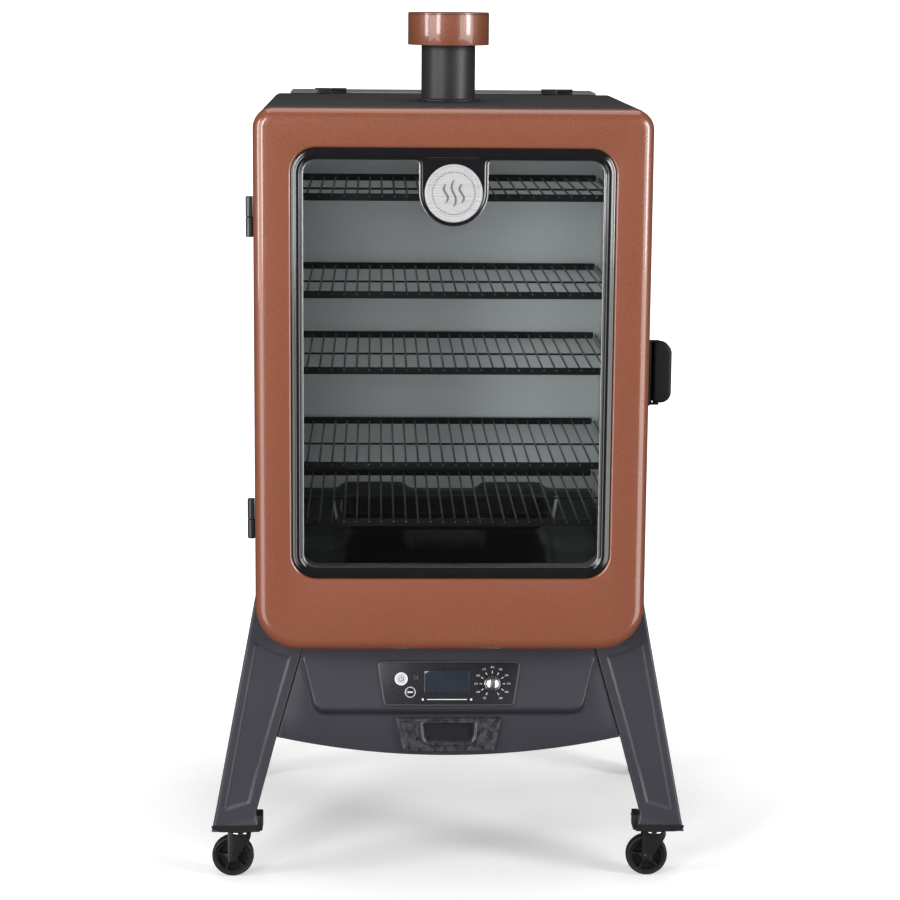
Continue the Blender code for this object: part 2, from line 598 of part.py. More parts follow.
# ---- controls ----
def controls(m):
    plate_back, plate_front = 0.0004, 0.0024
    spots = {"power_button": (-0.0792, 0.3452, 0.0110), "prime_button": (-0.0642, 0.3242, 0.0092),
             "program_button": (-0.0548, 0.3475, 0.0037)}
    dial_x, dial_z = 0.0717, 0.3375
    face = trapezoid(0.1197, 0.1075, 0.3741, 0.3020, 0.008, 0.008, 3)
    plate = make("faceplate", panel_plate(face, plate_back, plate_front), m["plastic"])
    inward = (panel_point(0, 0, -1) - panel_point(0, 0, 0)).normalized()
    for x, z, radius in spots.values():
        point = panel_point(x, z)
        cut(plate, cylinder(point - inward * 0.01, point + inward * 0.01, radius + 0.0004, 16))
    point = panel_point(dial_x, dial_z)
    cut(plate, cylinder(point - inward * 0.01, point + inward * 0.01, 0.0045, 12))
    lcd = [(0.0338, 0.3241), (0.0338, 0.3582), (-0.0407, 0.3582), (-0.0407, 0.3241)]
    play, middle_z = 0.0004, 0.341
    opening = [(x + math.copysign(play, x), z + math.copysign(play, z - middle_z)) for x, z in lcd]
    cut(plate, panel_plate(opening, -0.01, 0.01))
    make("display_window", panel_plate(lcd, 0.0003, 0.0020), m["display"])
    for name, (x, z, radius) in spots.items():
        point = panel_point(x, z)
        proud = 0.0045 if radius > 0.005 else 0.0036
        bm = cylinder(point - inward * proud, point + inward * 0.006, radius, 16)
        smooth(make(name, bm, m["white"] if name == "power_button" else m["plastic"], point))
    point = panel_point(dial_x, dial_z)
    dial = lathe([(0.0, 0.0170), (0.0080, 0.0160), (0.0115, 0.0130), (0.0133, 0.0080), (0.0133, 0.0030),
                  (0.0040, 0.0030), (0.0040, -0.0120), (0.0, -0.0120)], point, -inward, 20, closed=False)
    bmesh.ops.remove_doubles(dial, verts=dial.verts, dist=1e-6)
    smooth(make("temperature_dial", dial, m["chrome"], point))

    def rectangle(half, low, high, out):
        return [panel_point(x, z, out) for x, z in ((half, low), (half, high), (-half, high), (-half, low))]
    low, high, wall = 0.3070, 0.3670, 0.0020
    wide, near, far = 0.0990, -0.0035, -0.042
    housing = loft([rectangle(wide, low, high, near), rectangle(wide, low, high, far),
                    rectangle(wide - wall, low + wall, high - wall, far + wall),
                    rectangle(wide - wall, low + wall, high - wall, near)], caps=False)
    make("controller_housing", fill_cup(housing), m["plastic"])


def fill_cup(bm):
    """Close a cup lofted as outer wall, outer floor, inner floor, inner wall."""
    rows = [list(bm.verts)[i * 4:i * 4 + 4] for i in range(4)]
    for face in list(bm.faces):
        if set(face.verts) <= set(rows[1]) | set(rows[2]):
            bm.faces.remove(face)
    bm.faces.new(rows[1])
    bm.faces.new(rows[2])
    for i in range(4):
        j = (i + 1) % 4
        bm.faces.new((rows[0][i], rows[0][j], rows[3][j], rows[3][i]))
    return bm


# ---- grease drawer ----
def grease_drawer(m):
    def face(low, high, half_low, half_high, proud):
        return [(x, apron_y(z) - proud, z) for x, z in
                ((half_low, low), (half_high, high), (-half_high, high), (-half_low, low))]
    front = make("drawer_front", loft([face(0.2240, 0.2800, 0.0760, 0.0885, 0.0006),
                                       face(0.2240, 0.2800, 0.0760, 0.0885, 0.0070),
                                       face(0.2260, 0.2780, 0.0730, 0.0845, 0.0090)]), m["gloss"])
    cut(front, box_mesh((-0.043, -0.330, 0.2370), (0.043, apron_y(0.25) - 0.0025, 0.2710)))

    def ring(half, front_y, back_y, z):
        return [(half, front_y, z), (half, back_y, z), (-half, back_y, z), (-half, front_y, z)]
    low, high = 0.2340, 0.2655
    bm = loft([ring(0.0735, -0.2925, 0.060, high), ring(0.0735, -0.2925, 0.060, low),
               ring(0.0720, -0.2910, 0.0585, low + 0.0015), ring(0.0720, -0.2910, 0.0585, high)], caps=False)
    make("grease_tray", fill_cup(bm), m["steel"])
    wall = 0.0015
    outer = 0.0770
    floor = 0.2300
    side = [(-0.2880, floor), (0.0800, floor), (0.0800, 0.4010), (-0.1900, 0.4010), (-0.2100, 0.2720),
            (-0.2880, 0.2720)]
    bm = loft([[(x, y, z) for y, z in side] for x in (-outer, outer)])
    sleeve = make("drawer_sleeve", bm, m["steel"])
    cut(sleeve, box_mesh((-outer + wall, -0.30, floor + wall), (outer - wall, 0.10, 0.45)))


# ---- fire and feed ----
def fire(m):
    low, high = 0.4325, 0.5000
    wall = 0.0025
    bm = lathe([(0.0, low), (POT_RADIUS, low), (POT_RADIUS, high), (POT_RADIUS - wall, high),
                (POT_RADIUS - wall, low + wall), (0.0, low + wall)], (0, POT_Y, 0), (0, 0, 1), 20, closed=False)
    bmesh.ops.remove_doubles(bm, verts=bm.verts, dist=1e-6)
    pot = make("burn_pot", bm, m["steel"])
    cut(pot, cylinder((0, POT_Y + 0.01, AUGER_Z), (0, POT_Y + 0.08, AUGER_Z), AUGER_RADIUS + 0.0007, 16),
        cylinder((0, POT_Y + 0.01, IGNITER_Z), (0, POT_Y + 0.08, IGNITER_Z), 0.0046, 10),
        cylinder((0, POT_Y, low - 0.01), (0, POT_Y, low + 0.01), 0.012, 10))
    rod = cylinder((0, POT_Y + 0.022, IGNITER_Z), (0, 0.180, IGNITER_Z), 0.0040, 10)
    make("igniter", rod, m["steel"])
    start, end = POT_Y + 0.030, 0.3950
    bm = lathe([(AUGER_RADIUS, start), (AUGER_RADIUS, end), (AUGER_RADIUS - 0.0025, end),
                (AUGER_RADIUS - 0.0025, start)], (0, 0, AUGER_Z), (0, 1, 0), 20)
    tube = make("auger_tube", bm, m["charcoal"])
    cut(tube, box_mesh((-0.015, 0.315, AUGER_Z + 0.005), (0.015, 0.370, AUGER_Z + 0.03)))
    auger_screw(m, start + 0.006, end - 0.004)
    box = box_mesh((-0.040, 0.3975, AUGER_Z - 0.040), (0.040, 0.4370, AUGER_Z + 0.040), 0.003)
    make("auger_motor", box, m["charcoal"])


def auger_screw(m, start, end):
    """Feed screw: a core with one thin flight, twisted along its axis."""
    pitch, rings_per_turn = 0.045, 9
    section = ((0.0175, -6), (0.0175, 6), (0.0060, 40), (0.0060, 120), (0.0060, 240), (0.0060, 320))
    count = round((end - start) / pitch * rings_per_turn)
    rings = []
    for i in range(count + 1):
        y = start + (end - start) * i / count
        turn = 360 * (y - start) / pitch
        rings.append([(r * math.cos(math.radians(a + turn)), y, AUGER_Z + r * math.sin(math.radians(a + turn)))
                      for r, a in section])
    make("auger_screw", loft(rings), m["steel"], (0, start, AUGER_Z))


def blower(m):
    centre_y, centre_z = 0.150, 0.345
    low, high = 0.292, 0.4005
    bm = box_mesh((-0.055, centre_y - 0.030, low), (0.055, centre_y + 0.030, high), 0.004)
    housing = make("blower_housing", bm, m["charcoal"])
    cut(housing, cylinder((0, centre_y - 0.026, centre_z), (0, centre_y + 0.026, centre_z), 0.045, 20),
        cylinder((0, centre_y + 0.020, centre_z), (0, centre_y + 0.04, centre_z), 0.030, 16),
        box_mesh((-0.030, centre_y - 0.020, centre_z + 0.02), (0.030, centre_y + 0.020, high + 0.01)))
    points = []
    blades = 12
    for i in range(blades):
        base = 360 * i / blades
        points += [(0.018, base), (0.041, base + 8), (0.041, base + 14), (0.019, base + 9)]
    outline = [(r * math.cos(math.radians(a)), centre_z + r * math.sin(math.radians(a))) for r, a in points]
    make("blower_wheel", prism(outline, centre_y - 0.022, centre_y + 0.018), m["plastic"],
         (0, centre_y, centre_z))


def hopper(m):
    """Open funnel behind the cabinet, with its throat over the auger."""
    front = BODY_BACK + GAP
    top, knee, throat = 1.2790, 0.800, AUGER_Z + AUGER_RADIUS + 0.001

    def ring(half, y0, y1, z):
        return [(half, y0, z), (half, y1, z), (-half, y1, z), (-half, y0, z)]
    wall = SHEET
    outer = [ring(HOPPER_HALF, front, HOPPER_BACK, top), ring(HOPPER_HALF, front, HOPPER_BACK, knee),
             ring(0.040, 0.308, 0.378, throat)]
    inner = [ring(0.0375, 0.3105, 0.3755, throat),
             ring(HOPPER_HALF - wall, front + wall, HOPPER_BACK - wall, knee + 0.001),
             ring(HOPPER_HALF - wall, front + wall, HOPPER_BACK - wall, top)]
    make("hopper_bin", loft(outer + inner, closed=True), m["charcoal"])
    axis_y, axis_z = 0.2815, 1.2885
    lid = make("hopper_lid", box_mesh((-0.2790, 0.2870, 1.2815), (0.2790, 0.4395, 1.2865), 0.0015),
               m["charcoal"], (0, axis_y, axis_z))
    bpy.context.view_layer.update()
    radius, pin, bore = 0.0038, 0.0018, 0.0022
    for side, name in ((-1, "left"), (1, "right")):
        middle = side * 0.205
        x0, x1 = middle - 0.0285, middle + 0.0285
        fixed = make(f"lid_hinge_{name}", cylinder((x0, axis_y, axis_z), (middle - GAP, axis_y, axis_z), radius, 12),
                     m["black"])
        add(fixed, cylinder((middle - 0.002, axis_y, axis_z), (x1, axis_y, axis_z), pin, 10),
            box_mesh((x0, 0.2560, BODY_TOP + 0.0004), (middle - GAP, axis_y, BODY_TOP + 0.0034)),
            box_mesh((x0, 0.2765, BODY_TOP + 0.0010), (middle - GAP, axis_y, axis_z)))
        knuckle = lathe([(radius, middle), (radius, x1), (bore, x1), (bore, middle)],
                        (0, axis_y, axis_z), (1, 0, 0), 12)
        add(lid, box_mesh((middle, axis_y + 0.0026, 1.2855), (x1, 0.300, 1.2895)), knuckle)


# ---- casters ----
def caster(name, x, y, heading, m):
    """Swivel fork with its axle, and the wheel; heading is the trail direction in degrees from +X."""
    turn = Matrix.Rotation(math.radians(heading), 4, "Z")
    place = Matrix.Translation((x, y, 0)) @ turn
    axle_x, axle_z = TRAIL, WHEEL_RADIUS

    def put(bm):
        bmesh.ops.transform(bm, matrix=place, verts=bm.verts)
        return bm
    stem = put(cylinder((0, 0, 0.0760), (0, 0, 0.0845), 0.011, 16))
    fork = make(f"caster_fork_{name}", stem, m["black"], (x, y, 0.0845))
    bpy.context.view_layer.update()
    plate_low, plate_high = 0.0735, 0.0775
    add(fork, put(box_mesh((-0.0150, -0.0155, plate_low), (0.0190, 0.0155, plate_high))))
    for side in (-1, 1):
        outline = [(-0.0120, plate_high - 0.001), (0.0185, plate_high - 0.001), (axle_x + 0.007, axle_z - 0.007),
                   (axle_x - 0.007, axle_z - 0.007)]
        ys = sorted((side * 0.0128, side * 0.0152))
        add(fork, put(prism(outline, ys[0], ys[1])))
    add(fork, put(cylinder((axle_x, -0.0180, axle_z), (axle_x, 0.0180, axle_z), 0.0036, 12)))
    hub = place @ Vector((axle_x, 0, axle_z))
    profile = [(0.0041, 0.0118), (0.0085, 0.0118), (0.0100, 0.0070), (0.0270, 0.0070), (0.0290, 0.0105),
               (0.0325, 0.0105), (WHEEL_RADIUS, 0.0070), (WHEEL_RADIUS, -0.0070), (0.0325, -0.0105),
               (0.0290, -0.0105), (0.0270, -0.0070), (0.0100, -0.0070), (0.0085, -0.0118), (0.0041, -0.0118)]
    axis = turn @ Vector((0, 1, 0))
    wheel = make(f"caster_wheel_{name}", lathe(profile, hub, axis, 16), m["plastic"], hub)
    smooth(wheel)


def build():
    clear_scene()
    m = materials()
    outer_shell(m)
    inner_liner(m)
    racks(m)
    heat_baffle(m)
    water_pan(m)
    chimney(m)
    door_skin(m)
    door_liner(m)
    window_bezel(m)
    door_details(m)
    door_hinges(m)
    latch(m)
    leg("leg_front_left", -1, 1, m)
    leg("leg_front_right", 1, 1, m)
    leg("leg_rear_left", -1, -1, m)
    leg("leg_rear_right", 1, -1, m)
    apron(m)
    rear_brace(m)
    controls(m)
    grease_drawer(m)
    fire(m)
    blower(m)
    hopper(m)
    caster("front_left", -STEM_X, -STEM_Y, 180, m)
    caster("front_right", STEM_X, -STEM_Y, 180, m)
    caster("rear_left", -REAR_STEM_X, STEM_Y, 90, m)
    caster("rear_right", REAR_STEM_X, STEM_Y, 90, m)


build()
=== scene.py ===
"""Looks of the electric cabinet smoker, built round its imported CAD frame."""
import json
import math

import bmesh
import bpy
from mathutils import Matrix, Vector


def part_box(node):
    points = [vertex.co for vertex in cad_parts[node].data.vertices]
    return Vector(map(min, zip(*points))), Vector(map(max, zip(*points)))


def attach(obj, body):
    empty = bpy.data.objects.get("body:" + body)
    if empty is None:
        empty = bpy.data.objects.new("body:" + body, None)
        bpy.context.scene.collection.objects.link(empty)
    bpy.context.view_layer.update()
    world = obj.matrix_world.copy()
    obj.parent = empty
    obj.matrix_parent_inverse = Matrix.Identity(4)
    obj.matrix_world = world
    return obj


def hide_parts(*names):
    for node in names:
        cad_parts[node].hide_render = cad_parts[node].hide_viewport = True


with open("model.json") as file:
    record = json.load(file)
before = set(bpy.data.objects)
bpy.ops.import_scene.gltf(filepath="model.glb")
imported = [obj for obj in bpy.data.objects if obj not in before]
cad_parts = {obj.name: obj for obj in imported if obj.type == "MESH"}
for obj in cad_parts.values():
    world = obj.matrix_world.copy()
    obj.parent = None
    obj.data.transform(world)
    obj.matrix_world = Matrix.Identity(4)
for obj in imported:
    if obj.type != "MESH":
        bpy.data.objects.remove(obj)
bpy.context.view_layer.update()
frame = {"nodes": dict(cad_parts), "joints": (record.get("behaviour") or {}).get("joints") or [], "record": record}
SLOT_OF = {row["node"]: row["material_slot"] for row in frame["record"]["subparts"]}
JOINTS = {joint["name"]: joint for joint in frame["joints"]}


# ---- shader helpers ----
class Nodes:
    """A material's node tree with short calls."""

    def __init__(self, name):
        self.material = bpy.data.materials.new(name)
        self.material.use_nodes = True
        self.tree = self.material.node_tree
        self.shader = self.tree.nodes["Principled BSDF"]
        self.place = self.new("ShaderNodeTexCoord").outputs["Object"]

    def new(self, kind, **settings):
        node = self.tree.nodes.new(kind)
        for key, value in settings.items():
            setattr(node, key, value)
        return node

    def link(self, source, target):
        self.tree.links.new(source, target)

    def set(self, **values):
        for key, value in values.items():
            self.shader.inputs[key.replace("_", " ")].default_value = value

    def feed(self, **sockets):
        for key, socket in sockets.items():
            self.link(socket, self.shader.inputs[key.replace("_", " ")])

    def stretched(self, scale):
        node = self.new("ShaderNodeMapping")
        self.link(self.place, node.inputs["Vector"])
        node.inputs["Scale"].default_value = scale
        return node.outputs["Vector"]

    def noise(self, scale, detail=3.0, rough=0.5, where=None):
        node = self.new("ShaderNodeTexNoise")
        node.inputs["Scale"].default_value = scale
        node.inputs["Detail"].default_value = detail
        node.inputs["Roughness"].default_value = rough
        self.link(where or self.place, node.inputs["Vector"])
        return node.outputs["Fac"]

    def cells(self, scale):
        node = self.new("ShaderNodeTexVoronoi", feature="SMOOTH_F1")
        node.inputs["Scale"].default_value = scale
        node.inputs["Smoothness"].default_value = 0.6
        self.link(self.place, node.inputs["Vector"])
        return node.outputs["Distance"]

    def ramp(self, source, low, high, start=0.0, end=1.0):
        node = self.new("ShaderNodeMapRange", clamp=True)
        for key, value in (("From Min", start), ("From Max", end), ("To Min", low), ("To Max", high)):
            node.inputs[key].default_value = value
        self.link(source, node.inputs["Value"])
        return node.outputs["Result"]

    def colours(self, source, dark, light):
        node = self.new("ShaderNodeMix", data_type="RGBA")
        self.link(source, node.inputs["Factor"])
        node.inputs["A"].default_value = (*dark, 1)
        node.inputs["B"].default_value = (*light, 1)
        return node.outputs["Result"]

    def bumps(self, *layers):
        """Stack (height socket, strength, distance in metres) layers of bump."""
        normal = None
        for height, strength, distance in layers:
            node = self.new("ShaderNodeBump")
            node.inputs["Strength"].default_value = strength
            node.inputs["Distance"].default_value = distance
            self.link(height, node.inputs["Height"])
            if normal:
                self.link(normal, node.inputs["Normal"])
            normal = node.outputs["Normal"]
        self.link(normal, self.shader.inputs["Normal"])


# ---- materials ----
def copper_paint():
    """Hammered metallic paint: dimpled film with fine flake."""
    n = Nodes("copper_paint")
    fleck = n.ramp(n.noise(420.0, 2.0), 0.0, 1.0, 0.3, 0.7)
    n.feed(Base_Color=n.colours(fleck, (0.178, 0.048, 0.020), (0.234, 0.067, 0.031)))
    n.feed(Roughness=n.ramp(n.noise(7.0, 2.0), 0.38, 0.48))
    n.set(Metallic=0.06, Coat_Weight=0.95, Coat_Roughness=0.10)
    n.bumps((n.cells(330.0), 0.42, 0.0007), (n.noise(1500.0, 2.0), 0.10, 0.0003))
    return n.material


def powder_coat(name, dark, light, rough=0.52, grain=1300.0, strength=0.16, coat=0.0, shine=0.5):
    """Satin powder coat with a fine pebbled grain."""
    n = Nodes(name)
    n.feed(Base_Color=n.colours(n.noise(9.0, 3.0), dark, light))
    n.feed(Roughness=n.ramp(n.noise(22.0, 4.0), rough - 0.05, rough + 0.06))
    n.set(Coat_Weight=coat, Coat_Roughness=0.24, Specular_IOR_Level=shine)
    n.bumps((n.noise(grain, 2.0), strength, 0.0004), (n.noise(60.0, 2.0), 0.03, 0.001))
    return n.material


def enamel(name, colour, rough, mottle=0.0):
    """Fired or gloss coating with a slight orange peel."""
    n = Nodes(name)
    lighter = tuple(c * 1.5 + 0.003 for c in colour)
    n.feed(Base_Color=n.colours(n.noise(30.0, 4.0), colour, lighter))
    n.feed(Roughness=n.ramp(n.noise(70.0, 3.0), rough - 0.05, rough + 0.08))
    n.set(Coat_Weight=0.3, Coat_Roughness=rough * 0.5)
    n.bumps((n.noise(45.0, 3.0), 0.05 + mottle, 0.002), (n.noise(900.0, 2.0), 0.05, 0.0002))
    return n.material


def brushed(name, dark, light, rough, scale=(6.0, 6.0, 900.0), strength=0.06, metallic=1.0):
    """Brushed sheet: long fine scratches across the stretched axes."""
    n = Nodes(name)
    lines = n.noise(1.0, 4.0, 0.65, n.stretched(scale))
    patches = n.noise(3.5, 3.0)
    n.feed(Base_Color=n.colours(patches, dark, light))
    n.feed(Roughness=n.ramp(lines, rough - 0.08, rough + 0.10, 0.3, 0.7))
    n.set(Metallic=metallic)
    n.bumps((lines, strength, 0.0006), (n.noise(4.0, 2.0), 0.08, 0.01))
    return n.material


def black_casting_with_painted_highlights():
    """Black casting with paler blotches in its base colour, painted highlight standing in for blotchy reflections;
    the blotches also vary its roughness.
    """
    n = Nodes("cast_black")
    blotch_gloss_and_painted_highlight = n.ramp(n.noise(110.0, 4.0, 0.6), 0.0, 1.0, 0.38, 0.68)
    # Paler blotches in the base colour: painted highlight.
    n.feed(Base_Color=n.colours(blotch_gloss_and_painted_highlight, (0.018, 0.018, 0.022), (0.056, 0.057, 0.067)))
    n.feed(Roughness=n.ramp(blotch_gloss_and_painted_highlight, 0.26, 0.42))
    n.set(Coat_Weight=0.3, Coat_Roughness=0.15)
    n.bumps((n.noise(180.0, 4.0), 0.30, 0.0010), (n.noise(900.0, 2.0), 0.08, 0.0002))
    return n.material


def polished(name, colour, rough):
    """Bare metal with faint uneven polish."""
    n = Nodes(name)
    n.feed(Base_Color=n.colours(n.noise(40.0), colour, tuple(c * 0.9 for c in colour)))
    n.feed(Roughness=n.ramp(n.noise(120.0), rough, rough + 0.06))
    n.set(Metallic=1.0)
    return n.material


def moulded(name, colour, rough, grain=1600.0, strength=0.12, shine=0.5):
    """Moulded or printed surface with a fine grain."""
    n = Nodes(name)
    n.feed(Base_Color=n.colours(n.noise(50.0), colour, tuple(c * 1.35 + 0.002 for c in colour)))
    n.feed(Roughness=n.ramp(n.noise(35.0), rough - 0.05, rough + 0.07))
    n.set(Specular_IOR_Level=shine)
    n.bumps((n.noise(grain, 2.0), strength, 0.0003))
    return n.material


def window_glass():
    """Thin smoked pane: mostly clear, with Fresnel reflections and a faint haze."""
    n = Nodes("smoked_glass")
    tint = n.colours(n.noise(4.0, 2.0), (0.85, 0.865, 0.87), (0.88, 0.895, 0.90))
    clear = n.new("ShaderNodeBsdfTransparent")
    n.link(tint, clear.inputs["Color"])
    gloss = n.new("ShaderNodeBsdfGlossy")
    n.link(n.ramp(n.noise(12.0), 0.015, 0.03), gloss.inputs["Roughness"])
    fresnel = n.new("ShaderNodeFresnel")
    fresnel.inputs["IOR"].default_value = 1.45
    mix = n.new("ShaderNodeMixShader")
    n.link(fresnel.outputs["Fac"], mix.inputs["Fac"])
    n.link(clear.outputs["BSDF"], mix.inputs[1])
    n.link(gloss.outputs["BSDF"], mix.inputs[2])
    n.link(mix.outputs["Shader"], n.tree.nodes["Material Output"].inputs["Surface"])
    return n.material


def woven_rope():
    """Braided fibre seal."""
    n = Nodes("seal_rope")
    wave = n.new("ShaderNodeTexWave", bands_direction="DIAGONAL")
    wave.inputs["Scale"].default_value = 160.0
    wave.inputs["Distortion"].default_value = 2.0
    n.link(n.place, wave.inputs["Vector"])
    n.feed(Base_Color=n.colours(wave.outputs["Fac"], (0.012, 0.012, 0.012), (0.05, 0.05, 0.048)))
    n.set(Roughness=0.9)
    n.bumps((wave.outputs["Fac"], 0.6, 0.001))
    return n.material


def display_material():
    """Dark window over a faint display area."""
    n = Nodes("display_window")
    n.feed(Base_Color=n.colours(n.noise(25.0), (0.018, 0.022, 0.030), (0.030, 0.036, 0.047)))
    n.feed(Roughness=n.ramp(n.noise(60.0), 0.05, 0.08))
    return n.material


MATERIALS = {
    "copper_paint": copper_paint(),
    "charcoal_paint": powder_coat("charcoal_paint", (0.025, 0.024, 0.032), (0.032, 0.031, 0.041),
                                  coat=0.25, shine=0.3),
    "shell_paint": powder_coat("shell_paint", (0.010, 0.010, 0.011), (0.015, 0.015, 0.016), 0.60, 900.0, 0.30),
    "flue_paint": powder_coat("flue_paint", (0.018, 0.018, 0.021), (0.025, 0.025, 0.028), 0.40, shine=0.35),
    # Mid-grey of the hopper lid: painted reflection, standing in for the pale sheen its top catches at a grazing
    # view.
    "lid_painted_sheen_grey": powder_coat("lid_painted_sheen_grey", (0.16, 0.16, 0.165), (0.20, 0.20, 0.205), 0.35),
    "black_enamel": enamel("black_enamel", (0.010, 0.010, 0.011), 0.30),
    "pan_enamel": enamel("pan_enamel", (0.006, 0.006, 0.007), 0.34, 0.15),
    "gloss_black": enamel("gloss_black", (0.005, 0.005, 0.006), 0.11),
    "cast_black": black_casting_with_painted_highlights(),
    "latch_black": moulded("latch_black", (0.0035, 0.0035, 0.004), 0.5, shine=0.18),
    "satin_chrome": polished("satin_chrome", (0.80, 0.80, 0.80), 0.24),
    # Light grey of the rack welds: painted glint on the wire ends.
    "weld_painted_glint_grey": moulded("weld_painted_glint_grey", (0.30, 0.31, 0.34), 0.3),
    # Near-white diffuse colour of the drip pan's wire bails: painted reflection standing in for their bright
    # metal.
    "wire_painted_reflection_white": moulded("wire_painted_reflection_white", (0.72, 0.72, 0.73), 0.35, strength=0.03),
    "brushed_steel": brushed("brushed_steel", (0.36, 0.37, 0.37), (0.46, 0.47, 0.46), 0.36),
    "liner_steel": brushed("liner_steel", (0.80, 0.81, 0.805), (0.88, 0.89, 0.88), 0.46, metallic=0.12),
    "badge_steel": brushed("badge_steel", (0.48, 0.48, 0.49), (0.56, 0.56, 0.57), 0.30,
                           (10.0, 10.0, 500.0), metallic=0.25),
    "badge_line": brushed("badge_line", (0.12, 0.12, 0.125), (0.16, 0.16, 0.165), 0.40, metallic=0.3),
    "bead_grey": polished("bead_grey", (0.38, 0.38, 0.39), 0.26),
    "chrome": polished("chrome", (0.78, 0.78, 0.79), 0.10),
    "smoked_glass": window_glass(),
    "seal_rope": woven_rope(),
    "display_window": display_material(),
    "white_plastic": moulded("white_plastic", (0.62, 0.62, 0.63), 0.35, strength=0.03),
    "button_grey": moulded("button_grey", (0.42, 0.42, 0.43), 0.4, strength=0.03),
    "print_white": moulded("print_white", (0.55, 0.55, 0.56), 0.45, strength=0.03),
    "print_grey": moulded("print_grey", (0.10, 0.10, 0.11), 0.5, strength=0.03),
    "black_plastic": moulded("black_plastic", (0.006, 0.006, 0.007), 0.42, shine=0.3),
    "plate_black": moulded("plate_black", (0.010, 0.010, 0.014), 0.28, 700.0, 0.03),
    "tread": moulded("tread", (0.008, 0.008, 0.008), 0.55, 500.0, 0.3, shine=0.25),
}


# ---- measures ----
class Box:
    """A CAD node's box with short names."""

    def __init__(self, node):
        low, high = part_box(node)
        self.x0, self.y0, self.z0 = low
        self.x1, self.y1, self.z1 = high
        self.half = (high.x - low.x) / 2
        self.centre = (low + high) / 2


# ---- measures taken from the frame ----
DOOR, BEZEL, GLASS, BADGE = Box("door_skin"), Box("window_bezel"), Box("window_glass"), Box("badge")
SHELL, FLUE, AUGER, LEG = Box("outer_shell"), Box("chimney_pipe"), Box("auger_tube"), Box("leg_front_right")
SHELL.y0 = Box("inner_liner").y0
LEG.y0_top = -0.2830
LEG_KNEE, LEG_LEAN, FOOT_LIFT = 0.400, 0.1145, 0.0050
LEG_ROOF = LEG.z1
LEG_INNER = ((0.4085, 0.2383), (0.244, 0.286), (0.121, 0.319), (0.0945, 0.3135))
LEG_OUTER = (0.3213, (0.3915 - 0.3213) / (LEG_ROOF - 0.0945))
PANEL_TOP, PANEL_SLOPE = 0.378, 0.30
DOOR_CORNER_LOW, DOOR_CORNER_HIGH, WINDOW_CORNER, BEZEL_WIDTH = 0.072, 0.033, 0.040, 0.0185
TAB_HALF, TAB_FILLET, TAB_Z = 0.054, 0.008, BADGE.centre.z + 0.002
RACK_WIRES, WIRE_RADIUS = 28, 0.0017
MARK_HEIGHT = 0.00025
ACROSS = Vector((1, 0, 0))
PANEL_OUT = Vector((0.0, -1.0, PANEL_SLOPE)).normalized()
PANEL_UP = Vector((0.0, PANEL_OUT.z, -PANEL_OUT.y))


# ---- mesh helpers ----
def add_object(name, data):
    obj = bpy.data.objects.new(name, data)
    bpy.context.scene.collection.objects.link(obj)
    return obj


def finish_mesh(name, bm, body, material, smooth=35, replaces=(), normals=True):
    """Object from a bmesh, with its material, riding on a body and standing for CAD nodes."""
    if normals:
        bmesh.ops.recalc_face_normals(bm, faces=bm.faces)
    mesh = bpy.data.meshes.new(name)
    bm.to_mesh(mesh)
    bm.free()
    mesh.shade_smooth()
    mesh.set_sharp_from_angle(angle=math.radians(smooth))
    obj = add_object(name, mesh)
    mesh.materials.append(MATERIALS[material])
    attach(obj, body)
    if replaces:
        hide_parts(*replaces)
    return obj


def bridge(bm, a, b, closed=True):
    """Faces between two rows of vertices."""
    for i in range(len(a) if closed else len(a) - 1):
        j = (i + 1) % len(a)
        bm.faces.new((a[i], a[j], b[j], b[i]))


def loft(rings, closed=False, caps=True, bm=None):
    """Skin through rings of points, capped unless it closes on itself."""
    bm = bm or bmesh.new()
    rows = [[bm.verts.new(p) for p in ring] for ring in rings]
    pairs = list(zip(rows, rows[1:])) + ([(rows[-1], rows[0])] if closed else [])
    for a, b in pairs:
        bridge(bm, a, b)
    if caps and not closed:
        bm.faces.new(list(reversed(rows[0])))
        bm.faces.new(rows[-1])
    return bm


def box_mesh(low, high, bevel=0.0, bm=None):
    """Block between two corners, with rounded edges."""
    part = bmesh.new()
    matrix = Matrix.Translation([(a + b) / 2 for a, b in zip(low, high)])
    matrix = matrix @ Matrix.Diagonal((*[b - a for a, b in zip(low, high)], 1))
    bmesh.ops.create_cube(part, size=1.0, matrix=matrix)
    if bevel:
        bmesh.ops.bevel(part, geom=part.edges[:], offset=bevel, segments=2, profile=0.5, affect="EDGES")
    return merge(bm, part)


def merge(bm, part):
    """Append one bmesh to another."""
    if bm is None:
        return part
    mesh = bpy.data.meshes.new("part")
    part.to_mesh(mesh)
    part.free()
    bm.from_mesh(mesh)
    bpy.data.meshes.remove(mesh)
    return bm


def lathe(profile, centre, axis, segments=48, closed=True, bm=None):
    """Turn (radius, height) points round an axis; an open profile ends on the axis."""
    centre, axis = Vector(centre), Vector(axis).normalized()
    side = axis.orthogonal().normalized()
    other = axis.cross(side)
    part = bmesh.new()
    angles = [2 * math.pi * i / segments for i in range(segments)]
    loft([[centre + axis * h + (side * math.cos(a) + other * math.sin(a)) * r for a in angles]
          for r, h in profile], closed=closed, caps=False, bm=part)
    bmesh.ops.remove_doubles(part, verts=part.verts, dist=1e-6)
    loose = [f for f in part.faces if f.calc_area() < 1e-14]
    bmesh.ops.delete(part, geom=loose, context="FACES")
    return merge(bm, part)


